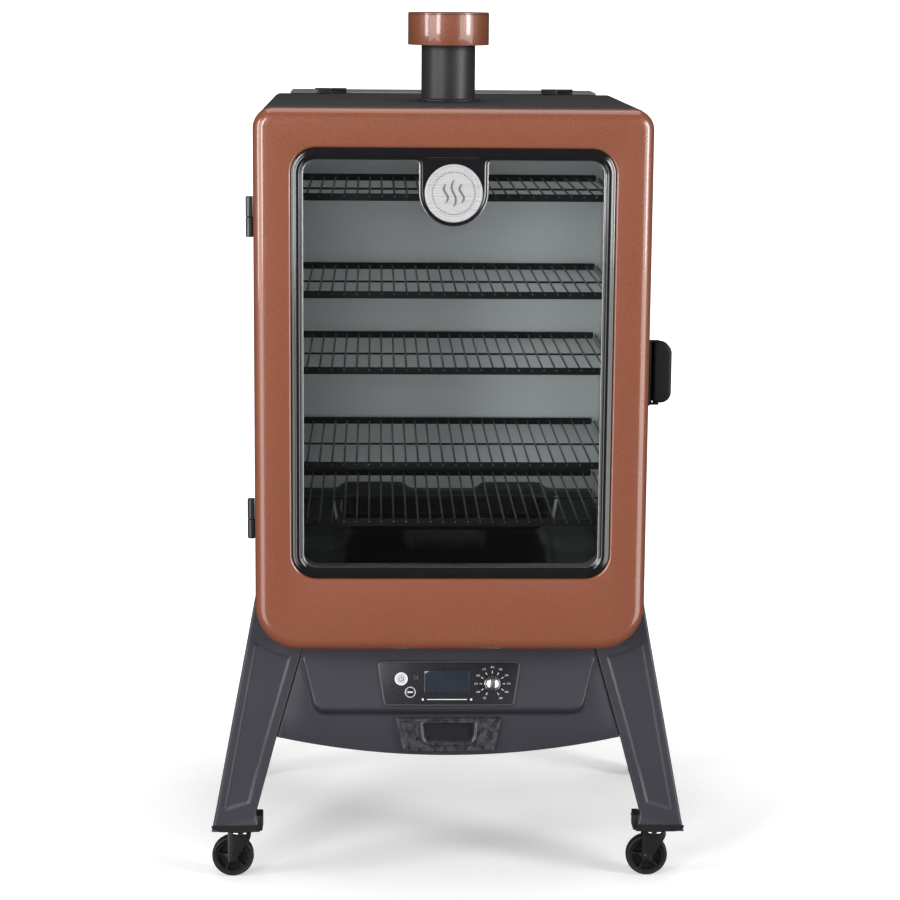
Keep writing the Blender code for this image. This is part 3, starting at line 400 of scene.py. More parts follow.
def rod(points, radius, sides=8, bm=None):
    """Round bar through points, with mitred bends and closed ends."""
    points = [Vector(p) for p in points]
    rings, up = [], None
    for i, point in enumerate(points):
        ahead = (points[min(i + 1, len(points) - 1)] - points[max(i - 1, 0)]).normalized()
        up = ahead.orthogonal().normalized() if up is None else (up - ahead * up.dot(ahead)).normalized()
        across = ahead.cross(up)
        rings.append([point + (up * math.cos(a) + across * math.sin(a)) * radius
                      for a in (2 * math.pi * k / sides for k in range(sides))])
    return loft(rings, bm=bm)


def arc(cx, cz, radius, start, sweep, steps):
    """(x, z) points along an arc, in degrees."""
    return [(cx + radius * math.cos(math.radians(start + sweep * i / steps)),
             cz + radius * math.sin(math.radians(start + sweep * i / steps))) for i in range(steps + 1)]


def rounded(half, low, high, r_low, r_high, steps=10, x=0.0):
    """Rounded rectangle of (x, z) points."""
    return (arc(x + half - r_low, low + r_low, r_low, -90, 90, steps)
            + arc(x + half - r_high, high - r_high, r_high, 0, 90, steps)
            + arc(x - half + r_high, high - r_high, r_high, 90, 90, steps)
            + arc(x - half + r_low, low + r_low, r_low, 180, 90, steps))


def trapezoid(half_high, half_low, high, low, r_high, r_low, steps=8):
    """Rounded trapezoid of (x, z) points, wider at the top."""
    lean = math.degrees(math.atan2(half_high - half_low, high - low))
    points = []
    corners = ((half_low, low, r_low, -90, 90 - lean, 1), (half_high, high, r_high, -lean, 90 + lean, 1),
               (-half_high, high, r_high, 90, 90 + lean, -1),
               (-half_low, low, r_low, 180 + lean, 90 - lean, -1))
    for x, z, radius, start, sweep, side in corners:
        reach = radius / math.tan(math.radians(180 - sweep) / 2)
        cz = z + radius if z == low else z - radius
        points += arc(x - side * reach, cz, radius, start, sweep, steps)
    return points


def offset(outline, distance):
    """Move a counter-clockwise outline inwards along its corner normals."""
    result, count = [], len(outline)
    for i, (x, z) in enumerate(outline):
        before, after = outline[i - 1], outline[(i + 1) % count]
        tx, tz = after[0] - before[0], after[1] - before[1]
        length = math.hypot(tx, tz) or 1.0
        result.append((x - tz / length * distance, z + tx / length * distance))
    return result


def flat(outline, y):
    """Stand an (x, z) outline up at a depth."""
    return [(x, y, z) for x, z in outline]


def solidify(obj, thickness):
    """Give an open surface its sheet thickness, on the inner side."""
    modifier = obj.modifiers.new("sheet", "SOLIDIFY")
    modifier.thickness = thickness
    modifier.offset = -1.0
    modifier.use_even_offset = True
    return obj


def bevelled(obj, width, angle):
    """Round the sharp edges of a carried-over piece."""
    modifier = obj.modifiers.new("bevel", "BEVEL")
    modifier.width = width
    modifier.segments = 2
    modifier.limit_method = "ANGLE"
    modifier.angle_limit = math.radians(angle)
    modifier.harden_normals = False
    return obj


def cut(obj, tool_mesh):
    """Cut a temporary body out of a piece."""
    mesh = bpy.data.meshes.new("tool")
    bmesh.ops.recalc_face_normals(tool_mesh, faces=tool_mesh.faces)
    tool_mesh.to_mesh(mesh)
    tool_mesh.free()
    tool = add_object("tool", mesh)
    modifier = obj.modifiers.new("cut", "BOOLEAN")
    modifier.object = tool
    modifier.solver = "EXACT"
    bpy.context.view_layer.update()
    result = bpy.data.meshes.new_from_object(obj.evaluated_get(bpy.context.evaluated_depsgraph_get()))
    obj.modifiers.clear()
    obj.data = result
    bpy.data.objects.remove(tool)
    result.shade_smooth()
    result.set_sharp_from_angle(angle=math.radians(30))
    return obj


def screws(name, places, axis, body, radius=0.0042, material="black_enamel", head=0.0022):
    """Pan-head screws with a cross slot, at points whose axis points out of the sheet."""
    bm = bmesh.new()
    axis = Vector(axis).normalized()
    side = axis.orthogonal().normalized()
    other = axis.cross(side)
    for place in places:
        place = Vector(place)
        dome = [(radius * math.cos(a), head * math.sin(a)) for a in (math.pi / 2 * i / 5 for i in range(6))]
        lathe([(0.0, -0.0004), (radius, -0.0004)] + dome, place, axis, 20, closed=False, bm=bm)
        for direction, across in ((side, other), (other, side)):
            turn = Matrix((direction, across, axis)).transposed().to_4x4()
            size = Matrix.Diagonal((radius, radius * 0.2, head * 0.3, 1))
            matrix = Matrix.Translation(place + axis * head * 0.97) @ turn @ size
            cross = bmesh.new()
            bmesh.ops.create_cube(cross, size=1.0, matrix=matrix)
            merge(bm, cross)
    return finish_mesh(name, bm, body, material)


# ---- door ----
def door_outline(inset):
    """Outer edge of the door: small corners above, large ones below."""
    return rounded(DOOR.half - inset, DOOR.z0 + inset, DOOR.z1 - inset,
                   DOOR_CORNER_LOW - inset, DOOR_CORNER_HIGH - inset, 14)


def window_outline(inset):
    """Outer edge of the window bezel."""
    corner = WINDOW_CORNER - inset
    return rounded(BEZEL.half - inset, BEZEL.z0 + inset, BEZEL.z1 - inset, corner, corner, 14)


def door_skin():
    """Pressed pan with rolled front edges and a hemmed window opening."""
    edge, sheet = 0.0200, 0.0025
    front, back = DOOR.y0, DOOR.y1
    rings = [flat(door_outline(0.0008), back), flat(door_outline(0.0), back - 0.001)]
    for i in range(11):
        angle = math.pi / 2 * i / 10
        rings.append(flat(door_outline(edge * (1 - math.cos(angle))), front + edge * (1 - math.sin(angle))))
    rings.append(flat(door_outline(edge + 0.006), front))
    opening = -0.0007
    hem = ((0.0035, 0.0), (0.0015, 0.0006), (0.0, 0.0022), (0.0, 0.005), (0.003, 0.005))
    rings += [flat(window_outline(opening - out), front + deep) for out, deep in hem]
    for i in range(6, -1, -1):
        angle = math.pi / 2 * i / 6
        inset = sheet + (edge - sheet) * (1 - math.cos(angle))
        rings.append(flat(door_outline(inset), front + sheet + (edge - sheet) * (1 - math.sin(angle))))
    rings.append(flat(door_outline(sheet), back))
    finish_mesh("door_outer_skin", loft(rings, closed=True), "door", "copper_paint", replaces=("door_skin",))


def window_bezel():
    """Glossy bead round the glass, with a groove along its inner lip."""
    back, top = BEZEL.y1, BEZEL.y0
    profile = [(0.0, back), (0.0, top + 0.0040), (0.0012, top + 0.0026), (0.0040, top + 0.0018),
               (0.0052, top + 0.0016), (0.0060, top + 0.0006), (0.0085, top), (0.0115, top + 0.0001),
               (0.0140, top + 0.0012), (0.0150, top + 0.0030), (0.0158, top + 0.0034), (0.0172, top + 0.0036),
               (0.0182, top + 0.0044), (BEZEL_WIDTH, top + 0.0058), (BEZEL_WIDTH, back)]
    rings = [flat(window_outline(inset), y) for inset, y in profile]
    finish_mesh("window_surround", loft(rings, closed=True), "door", "gloss_black",
                replaces=("window_bezel",), smooth=50)


def badge_tab():
    """Rounded tab below the bezel's top rail, with bright rolled edges."""
    rail = BEZEL.z1 - BEZEL_WIDTH + 0.001

    def outline(inset):
        neck, bend = TAB_HALF + TAB_FILLET, TAB_FILLET + inset
        low = arc(0.0, TAB_Z, TAB_HALF - inset, 180, 180, 28)
        right = arc(neck, rail - TAB_FILLET, bend, 180, -80, 6)
        left = arc(-neck, rail - TAB_FILLET, bend, 80, -80, 6)
        return low + right + left
    top = DOOR.y0 + 0.0012
    steps = ((0.0, GLASS.y0 - 0.0010), (0.0, top + 0.0012), (0.0006, top + 0.0003), (0.0018, top),
             (0.0036, top + 0.0001), (0.0050, top + 0.0009), (0.0070, top + 0.0010))
    bm = loft([flat(outline(inset), y) for inset, y in steps])
    finish_mesh("badge_tab", bm, "door", "gloss_black", smooth=50)


def badge():
    """Brushed disc with a raised rim, three curling smoke lines and a ring of dots."""
    radius, out = BADGE.half, -BADGE.y0
    base = -BADGE.y1
    profile = [(0.0, base), (radius - 0.001, base), (radius, base + 0.0008), (radius, out - 0.0012),
               (radius - 0.0008, out - 0.0002), (radius - 0.002, out), (radius - 0.0035, out - 0.0002),
               (radius - 0.0042, out - 0.0014), (radius - 0.0080, out - 0.0017),
               (radius - 0.0084, out - 0.0010),
               (radius - 0.0092, out - 0.0010), (radius - 0.0096, out - 0.0017), (0.0, out - 0.0017)]
    centre = (0, 0, BADGE.centre.z)
    finish_mesh("badge_disc", lathe(profile, centre, (0, -1, 0), 96, closed=False), "door", "badge_steel",
                replaces=("badge",), smooth=40)
    bm = bmesh.new()
    for x, height in ((-0.0125, 0.0150), (0.0, 0.0210), (0.0125, 0.0150)):
        rings = []
        for i in range(41):
            t = i / 40
            z = BADGE.centre.z + height * (2 * t - 1)
            middle = x + 0.0034 * math.sin(2 * math.pi * t)
            wide = 0.0019 * (math.sin(math.pi * (0.06 + 0.88 * t))) ** 0.5
            y = BADGE.y0 + 0.0020
            rings.append([(middle - wide, y, z), (middle - wide * 0.6, y - 0.0016, z),
                          (middle + wide * 0.6, y - 0.0016, z), (middle + wide, y, z)])
        loft(rings, bm=bm)
    count, dots = 48, 0.0335
    for i in range(count):
        a = 2 * math.pi * i / count
        place = (dots * math.cos(a), BADGE.y0 + 0.0018, BADGE.centre.z + dots * math.sin(a))
        lathe([(0.0, 0.0), (0.0012, 0.0), (0.0009, 0.0009), (0.0, 0.0012)], place, (0, -1, 0), 8,
              closed=False, bm=bm)
    finish_mesh("badge_smoke_lines", bm, "door", "badge_line")


def window_bead():
    """Fine bright bead along the glass edge, dipping round the badge tab."""
    radius = 0.0007
    wide, low, rail = BEZEL.half - BEZEL_WIDTH, BEZEL.z0 + BEZEL_WIDTH, BEZEL.z1 - BEZEL_WIDTH
    corner = WINDOW_CORNER - BEZEL_WIDTH
    neck = TAB_HALF + TAB_FILLET
    path = (arc(wide - corner, low + corner, corner, -90, 90, 8)
            + arc(wide - corner, rail - corner, corner, 0, 90, 8)
            + arc(neck, rail - TAB_FILLET, TAB_FILLET, 90, 90, 6)
            + arc(0.0, TAB_Z, TAB_HALF, 0, -180, 28)
            + arc(-neck, rail - TAB_FILLET, TAB_FILLET, 0, 90, 6)
            + arc(corner - wide, rail - corner, corner, 90, 90, 8)
            + arc(corner - wide, low + corner, corner, 180, 90, 8))
    middle = BEZEL.y0 + 0.0042
    rings = [flat(offset(path, radius * math.cos(a)), middle + radius * math.sin(a))
             for a in (math.pi * k / 3 for k in range(6))]
    finish_mesh("window_bead", loft(rings, closed=True), "door", "bead_grey", smooth=70)


def glass_and_seal():
    """Pane with ground edges, and the round rope seal on the door's back."""
    outline = rounded(GLASS.half, GLASS.z0, GLASS.z1, 0.030, 0.030, 10)
    chamfer = 0.0008
    rings = [flat(offset(outline, chamfer), GLASS.y0), flat(outline, GLASS.y0 + chamfer),
             flat(outline, GLASS.y1 - chamfer), flat(offset(outline, chamfer), GLASS.y1)]
    finish_mesh("door_glass", loft(rings), "door", "smoked_glass", replaces=("window_glass",))
    seal = Box("door_seal")
    middle_y, radius = (seal.y0 + seal.y1) / 2, (seal.y1 - seal.y0) / 2
    rings = []
    for i in range(12):
        angle = 2 * math.pi * i / 12
        inset = 0.005 * (1 + math.cos(angle))
        ring = rounded(seal.half - inset, seal.z0 + inset, seal.z1 - inset, 0.021 - inset, 0.023 - inset, 8)
        rings.append(flat(ring, middle_y + radius * math.sin(angle)))
    finish_mesh("door_rope_seal", loft(rings, closed=True), "door", "seal_rope", replaces=("door_seal",))


def door_inner_pan():
    """Pressed inner pan: stepped face, a return flange to the glass and a row of clips."""
    pan = Box("door_liner")
    back, hold = pan.y1, pan.y0 + 0.0003

    def outer(inset):
        return rounded(pan.half - inset, pan.z0 + inset, pan.z1 - inset, 0.065 - inset, 0.026 - inset, 10)

    def inner(inset):
        return rounded(0.243 + inset, 0.541 - inset, 1.2075 + inset, 0.030 + inset, 0.030 + inset, 10)
    rings = [flat(outer(0.0), back - 0.0018), flat(outer(0.0), back), flat(outer(0.026), back),
             flat(outer(0.029), back - 0.0012), flat(inner(0.014), back - 0.0012), flat(inner(0.010), back),
             flat(inner(0.004), back), flat(inner(0.0), back - 0.004), flat(inner(0.0), hold),
             flat(inner(0.002), hold), flat(inner(0.002), back - 0.005), flat(inner(0.006), back - 0.0018)]
    finish_mesh("door_inner_pan", loft(rings, closed=True), "door", "brushed_steel", replaces=("door_liner",))
    places = []
    for z in (0.60, 0.76, 0.99, 1.15):
        places += [(side * 0.2555, back - 0.0012, z) for side in (-1, 1)]
    places += [(x, back - 0.0012, z) for x in (-0.16, 0.0, 0.16) for z in (0.5285, 1.2200)]
    screws("window_clip_screws", places, (0, 1, 0), "door", 0.0035)


def door_hinges():
    """Chunky hinge knuckles with dome pin ends, and their leaves."""
    pin_x, pin_y, _ = JOINTS["door_hinge"]["pos_m"]
    for name in ("upper", "lower"):
        fixed, moving = Box(f"hinge_bracket_{name}"), Box(f"hinge_barrel_{name}")
        radius = 0.0064
        for body, node in (("cabinet", f"hinge_bracket_{name}"), ("door", f"hinge_barrel_{name}")):
            low = fixed.z0 if body == "cabinet" else moving.z0
            high = moving.z0 - 0.0006 if body == "cabinet" else moving.z1
            bore = 0.0 if body == "cabinet" else 0.0034
            profile = [(bore, low), (radius - 0.001, low), (radius, low + 0.001), (radius, high - 0.001),
                       (radius - 0.001, high), (bore, high)]
            bm = lathe(profile, (pin_x, pin_y, 0), (0, 0, 1), 28, closed=bore > 0)
            if body == "cabinet":
                pin = [(0.0, high - 0.002), (0.003, high - 0.002), (0.003, moving.z1 - 0.0015),
                       (0.0015, moving.z1 - 0.0003), (0.0, moving.z1 - 0.0003)]
                lathe(pin, (pin_x, pin_y, 0), (0, 0, 1), 20, closed=False, bm=bm)
                box_mesh((pin_x - 0.002, -0.2770, low), (SHELL.x0 - 0.0004, -0.2740, high), 0.0008, bm=bm)
                box_mesh((SHELL.x0 - 0.0033, -0.2755, low), (SHELL.x0 - 0.0004, fixed.y1, high), 0.0012, bm=bm)
            else:
                box_mesh((pin_x + 0.0043, -0.2847, low), (moving.x1, -0.2819, high), 0.0008, bm=bm)
            finish_mesh(f"door_hinge_{name}_{body}", bm, body, "black_enamel", replaces=(node,))
        middle = (fixed.z0 + moving.z0) / 2
        screws(f"hinge_screws_{name}", [(SHELL.x0 - 0.0032, y, middle) for y in (-0.262, -0.242)],
               (-1, 0, 0), "cabinet", 0.0036, "chrome")


def latch():
    """Bracket with ears and pin, moulded pull handle, and the keeper on the cabinet's side."""
    bracket, handle = Box("latch_bracket"), Box("latch_handle")
    pin_x, pin_y, _ = JOINTS["latch_pivot"]["pos_m"]
    bm = box_mesh((bracket.x0, bracket.y0, bracket.z0), (bracket.x0 + 0.003, bracket.y1, bracket.z1), 0.0010)
    for z in (bracket.z0, bracket.z1 - 0.003):
        box_mesh((bracket.x0 + 0.002, pin_y - 0.006, z), (bracket.x1, pin_y + 0.006, z + 0.003), 0.0012, bm=bm)
    rod([(pin_x, pin_y, bracket.z0 + 0.001), (pin_x, pin_y, bracket.z1 - 0.001)], 0.0025, 16, bm=bm)
    rib_back = bracket.y1 - 0.0006
    box_mesh((bracket.x0 + 0.002, pin_y + 0.0005, bracket.z0 + 0.001),
             (handle.x0 - 0.0006, rib_back, bracket.z1 - 0.001), 0.0008, bm=bm)
    finish_mesh("latch_bracket_plate", bm, "door", "latch_black", replaces=("latch_bracket",))
    low, high = bracket.z0 + 0.0036, bracket.z1 - 0.0036
    outer_corner = 0.017

    def side_view(inset):
        """(x, z) outline of the handle, rounder on its outer corners."""
        left, right = handle.x0 + inset, handle.x1 - inset
        corner = outer_corner - inset
        return ([(left, low + inset + 0.002)] + [(left + 0.002, low + inset)]
                + arc(right - corner, low + inset + corner, corner, -90, 90, 9)
                + arc(right - corner, high - inset - corner, corner, 0, 90, 9)
                + [(left + 0.002, high - inset), (left, high - inset - 0.002)])
    y0, y1, edge = handle.y0, -0.2750, 0.0055
    rings = []
    for i in range(7):
        angle = math.pi / 2 * i / 6
        rings.append(flat(side_view(edge * (1 - math.sin(angle))), y0 + edge * (1 - math.cos(angle))))
    rings += [flat(side_view(0.0), y1 - 0.002), flat(side_view(0.0015), y1)]
    grip = finish_mesh("latch_pull", loft(rings), "latch_handle", "latch_black", replaces=("latch_handle",))
    hollow = box_mesh((handle.x0 + 0.0030, -0.2960, low + 0.014), (0.3480, y1 + 0.01, high - 0.014), 0.003)
    cut(grip, hollow)
    bore = rod([(pin_x, pin_y, low - 0.01), (pin_x, pin_y, high + 0.01)], 0.0030, 16)
    cut(grip, bore)
    tongue = box_mesh((handle.x0, -0.2962, 0.8485), (handle.x0 + 0.0034, handle.y1, 0.8725), 0.0010)
    finish_mesh("latch_tongue", tongue, "latch_handle", "black_enamel")
    keeper = Box("latch_keeper")
    bm = box_mesh((keeper.x0, keeper.y0, keeper.z0), (keeper.x0 + 0.0026, keeper.y1, keeper.z1), 0.0009)
    box_mesh((keeper.x0 + 0.0018, -0.2620, 0.8500), (keeper.x1, -0.2560, 0.8710), 0.0010, bm=bm)
    finish_mesh("latch_strike", bm, "cabinet", "brushed_steel", replaces=("latch_keeper",))
    screws("latch_strike_screws", [(keeper.x0 + 0.0026, -0.245, z) for z in (0.848, 0.873)], (1, 0, 0),
           "cabinet", 0.0032, "chrome", 0.0015)


# ---- cabinet ----
def cabinet_shell():
    """Wrapped steel shell with a rounded top, a back panel set in a seam, and the flue hole."""
    corner = 0.013

    def outline(inset):
        radius = corner - inset
        return rounded(SHELL.half - inset, SHELL.z0 + inset, SHELL.z1 - inset, radius, radius, 10)
    sheet, lip = 0.0022, 0.009
    rings = [flat(outline(sheet), SHELL.y1 - sheet), flat(outline(sheet), SHELL.y0 + 0.0005),
             flat(outline(0.0), SHELL.y0 + 0.0005), flat(outline(0.0), SHELL.y1 - 0.0015),
             flat(outline(0.0006), SHELL.y1 - 0.0004), flat(outline(0.0015), SHELL.y1),
             flat(outline(lip), SHELL.y1), flat(outline(lip + 0.0010), SHELL.y1 - 0.0012),
             flat(outline(lip + 0.0022), SHELL.y1 - 0.0012), flat(outline(lip + 0.0030), SHELL.y1 - 0.0003)]
    shell = finish_mesh("cabinet_shell", loft(rings), "cabinet", "shell_paint", replaces=("outer_shell",))
    hole = FLUE.half - 0.009 + 0.001
    cut(shell, rod([(0, FLUE.centre.y, SHELL.z1 - 0.02), (0, FLUE.centre.y, SHELL.z1 + 0.02)], hole, 48))
    cut(shell, rod([(0, SHELL.y1 - 0.02, AUGER.centre.z), (0, SHELL.y1 + 0.02, AUGER.centre.z)], 0.023, 32))
    cut(shell, box_mesh((-0.05, -0.08, SHELL.z0 - 0.02), (0.05, 0.16, SHELL.z0 + 0.02), 0.004))
    places = []
    for z in (0.45, 0.55, 0.65, 0.75):
        places += [(side * (SHELL.half - 0.0052), SHELL.y1, z) for side in (-1, 1)]
    screws("back_panel_screws", places, (0, 1, 0), "cabinet")
    for side, name in ((-1, "left"), (1, "right")):
        screws(f"side_screws_{name}", [(side * SHELL.half, y, z) for y in (-0.255, 0.258)
                                       for z in (0.52, 0.74, 0.98, 1.22)], (side, 0, 0), "cabinet", 0.0036)
        x0, x1 = sorted((side * SHELL.half, side * (SHELL.half + 0.0008)))
        seam = box_mesh((x0, 0.2350, SHELL.z0 + 0.078), (x1, 0.2358, SHELL.z1 - 0.016), 0.0003)
        finish_mesh(f"side_seam_{name}", seam, "cabinet", "shell_paint")


def wire_places(rack):
    """Where each wire of a rack crosses it."""
    pitch = 2 * (rack.half - WIRE_RADIUS) / (RACK_WIRES - 1)
    return [-rack.half + WIRE_RADIUS + i * pitch for i in range(RACK_WIRES)]


def rack_mesh(rack):
    """Round wires through a front and a back strip, over a middle cross rod."""
    z, radius = rack.centre.z, WIRE_RADIUS
    bm = bmesh.new()
    for x in wire_places(rack):
        y0, y1 = rack.y0 + 0.0006, rack.y1 - 0.0006
        tip = [(radius * 0.4, y0), (radius * 0.85, y0 + 0.0005), (radius, y0 + 0.0014),
               (radius, y1 - 0.0014), (radius * 0.85, y1 - 0.0005), (radius * 0.4, y1)]
        rings = [[(x + r * math.cos(a), y, z + r * math.sin(a)) for a in (math.pi * k / 4 for k in range(8))]
                 for r, y in tip]
        loft(rings, bm=bm)
    strip_half = rack.half - 0.006
    for y in (rack.y0 + 0.004, rack.y1 - 0.0055):
        outline = rounded(strip_half, rack.z0, rack.z1, 0.003, 0.003, 3)
        loft([flat(outline, y), flat(outline, y + 0.0015)], bm=bm)
    middle = rack.centre.y
    rod([(-rack.half + 0.001, middle, z - 0.0034), (rack.half - 0.001, middle, z - 0.0034)], 0.0018, 8, bm=bm)
    return bm


def weld_beads(rack):
    """Small weld at each wire's front end; its light grey is painted glint."""
    bm = bmesh.new()
    for x in wire_places(rack)[1:-1]:
        place = (x, rack.y0 + 0.0036, rack.centre.z + 0.0012)
        lathe([(0.0, -0.0010), (0.0011, -0.0005), (0.0013, 0.0003), (0.0, 0.0011)], place, (0, -1, 0), 8,
              closed=False, bm=bm)
    return bm


def racks():
    """Five racks, each with its wires and welds."""
    for number in range(1, 6):
        node = f"rack_{number}"
        finish_mesh(f"{node}_welds", weld_beads(Box(node)), node, "weld_painted_glint_grey", smooth=60)
        finish_mesh(f"{node}_wires", rack_mesh(Box(node)), node, "black_enamel", replaces=(node,), smooth=50)


def heat_baffle():
    """Folded plate with two soft humps, sloping up to the back of the chamber."""
    half = 0.275
    rows = ((-0.2150, 0.4470), (-0.2120, 0.4560), (-0.2040, 0.4620), (-0.1200, 0.4850), (-0.0400, 0.5045),
            (-0.0250, 0.5070), (0.0400, 0.5110), (0.0560, 0.5140), (0.1300, 0.5390), (0.2000, 0.5632),
            (0.2130, 0.5675))
    columns = [-half + 2 * half * i / 120 for i in range(121)]

    def hump(x, y):
        across = abs(abs(x) - 0.126)
        rise = 1.0 / (1.0 + math.exp((across - 0.060) / 0.0032))
        along = min(1.0, max(0.0, (y + 0.20) / 0.16))
        return 0.0115 * rise * (0.35 + 0.65 * along)
    bm = bmesh.new()
    grid = [[bm.verts.new((x, y, z + hump(x, y) - 0.0005)) for x in columns] for y, z in rows]
    for a, b in zip(grid, grid[1:]):
        bridge(bm, a, b, closed=False)
    obj = finish_mesh("fire_baffle", bm, "cabinet", "pan_enamel", replaces=("heat_baffle",), normals=False)
    solidify(obj, 0.0018)


def water_pan():
    """Pressed pan with rounded corners, a rolled rim, and wire bails at its ends."""
    pan = Box("water_pan")
    cx, cy = pan.centre.x, pan.centre.y
    half_x, half_y = pan.half, (pan.y1 - pan.y0) / 2

    def ring(inset, z, corner):
        hx, hy = half_x - inset, half_y - inset
        points = []
        for sx, sy, start in ((1, -1, -90), (1, 1, 0), (-1, 1, 90), (-1, -1, 180)):
            points += arc(cx + sx * (hx - corner), cy + sy * (hy - corner), corner, start, 90, 6)
        return [(x, y, z) for x, y in points]
    low, high = pan.z0, pan.z1
    rings = [ring(0.0215, low, 0.015), ring(0.017, low + 0.0035, 0.018), ring(0.0050, high - 0.003, 0.022),
             ring(0.0012, high - 0.0024, 0.024), ring(0.0, high - 0.0012, 0.025), ring(0.0012, high, 0.024),
             ring(0.0050, high - 0.0006, 0.022), ring(0.0180, low + 0.0050, 0.018),
             ring(0.024, low + 0.0016, 0.014)]
    finish_mesh("drip_pan", loft(rings), "cabinet", "pan_enamel", replaces=("water_pan",))
    bm = bmesh.new()
    for side in (-1, 1):
        foot_x, top_x, gap = side * (half_x + 0.0052), side * (half_x + 0.0112), 0.012
        foot_z, top_z = high - 0.0260, high + 0.0110
        bend = 0.0030
        path = [(foot_x, cy - gap, foot_z), (top_x, cy - gap, top_z - bend), (top_x, cy - gap + bend, top_z),
                (top_x, cy + gap - bend, top_z), (top_x, cy + gap, top_z - bend), (foot_x, cy + gap, foot_z)]
        rod(path, WIRE_RADIUS, 10, bm=bm)
    # The bails' near-white is painted reflection.
    finish_mesh("drip_pan_bails", bm, "cabinet", "wire_painted_reflection_white")


def chimney():
    """Flanged pipe with a rolled rim, and the screw-down cap."""
    pipe, cap = Box("chimney_pipe"), Box("chimney_cap")
    axis = (0, pipe.centre.y, 0)
    radius = pipe.half - 0.009
    base = SHELL.z1 + 0.0005
    wall = 0.0020
    rim = 1.3900
    profile = [(radius, pipe.z0), (radius, base), (pipe.half, base), (pipe.half, base + 0.0015),
               (pipe.half - 0.0008, base + 0.0021), (radius + 0.0030, base + 0.0021),
               (radius + 0.0010, base + 0.0030), (radius, base + 0.0050), (radius, rim),
               (radius - 0.0005, rim + 0.0012), (radius - wall / 2, rim + 0.0016),
               (radius - wall + 0.0005, rim + 0.0012), (radius - wall, rim), (radius - wall, pipe.z0)]
    bm = lathe(profile, axis, (0, 0, 1), 72)
    box_mesh((-radius + 0.001, axis[1] - 0.005, 1.3600), (radius - 0.001, axis[1] + 0.005, 1.3640),
             0.0006, bm=bm)
    turns, steps, pitch = 40, 8, 0.0015
    crest, depth, foot, tip = 0.00395, 0.0005, 1.3630, 1.4243
    thread = [(crest - depth * (0.5 + 0.5 * math.cos(2 * math.pi * i / steps)), foot + i * pitch / steps)
              for i in range(turns * steps)]
    lathe([(0.0, foot - 0.0005)] + thread + [(0.003, tip), (0.0, tip)], axis, (0, 0, 1), 14,
          closed=False, bm=bm)
    finish_mesh("flue_pipe", bm, "cabinet", "flue_paint", replaces=("chimney_pipe",))
    circle = 0.0505
    screws("flange_screws", [(circle * math.cos(a), axis[1] + circle * math.sin(a), base + 0.0021)
                             for a in (math.pi / 4 + math.pi / 2 * i for i in range(4))],
           (0, 0, 1), "cabinet", 0.0026)
    out, low, high = cap.half, cap.z0, cap.z1
    wall = 0.0015
    profile = [(0.0, high - 0.0008), (out - 0.0100, high - 0.0008), (out - 0.0080, high), (out - 0.0022, high),
               (out - 0.0006, high - 0.0007), (out, high - 0.0024), (out, low + 0.0012),
               (out - 0.0004, low + 0.0003), (out - 0.0012, low), (out - wall, low + 0.0006),
               (out - wall, high - 0.0040), (0.0, high - 0.0030)]
    finish_mesh("flue_cap", lathe(profile, axis, (0, 0, 1), 96, closed=False), "chimney_cap", "copper_paint",
                replaces=("chimney_cap",))
    trim = [(out - 0.0010, high - 0.0015), (out, high - 0.0030), (out, high - 0.0042),
            (out - 0.0006, high - 0.0042), (out - 0.0006, high - 0.0020)]
    finish_mesh("flue_cap_rim", lathe(trim, axis, (0, 0, 1), 96), "chimney_cap", "flue_paint")


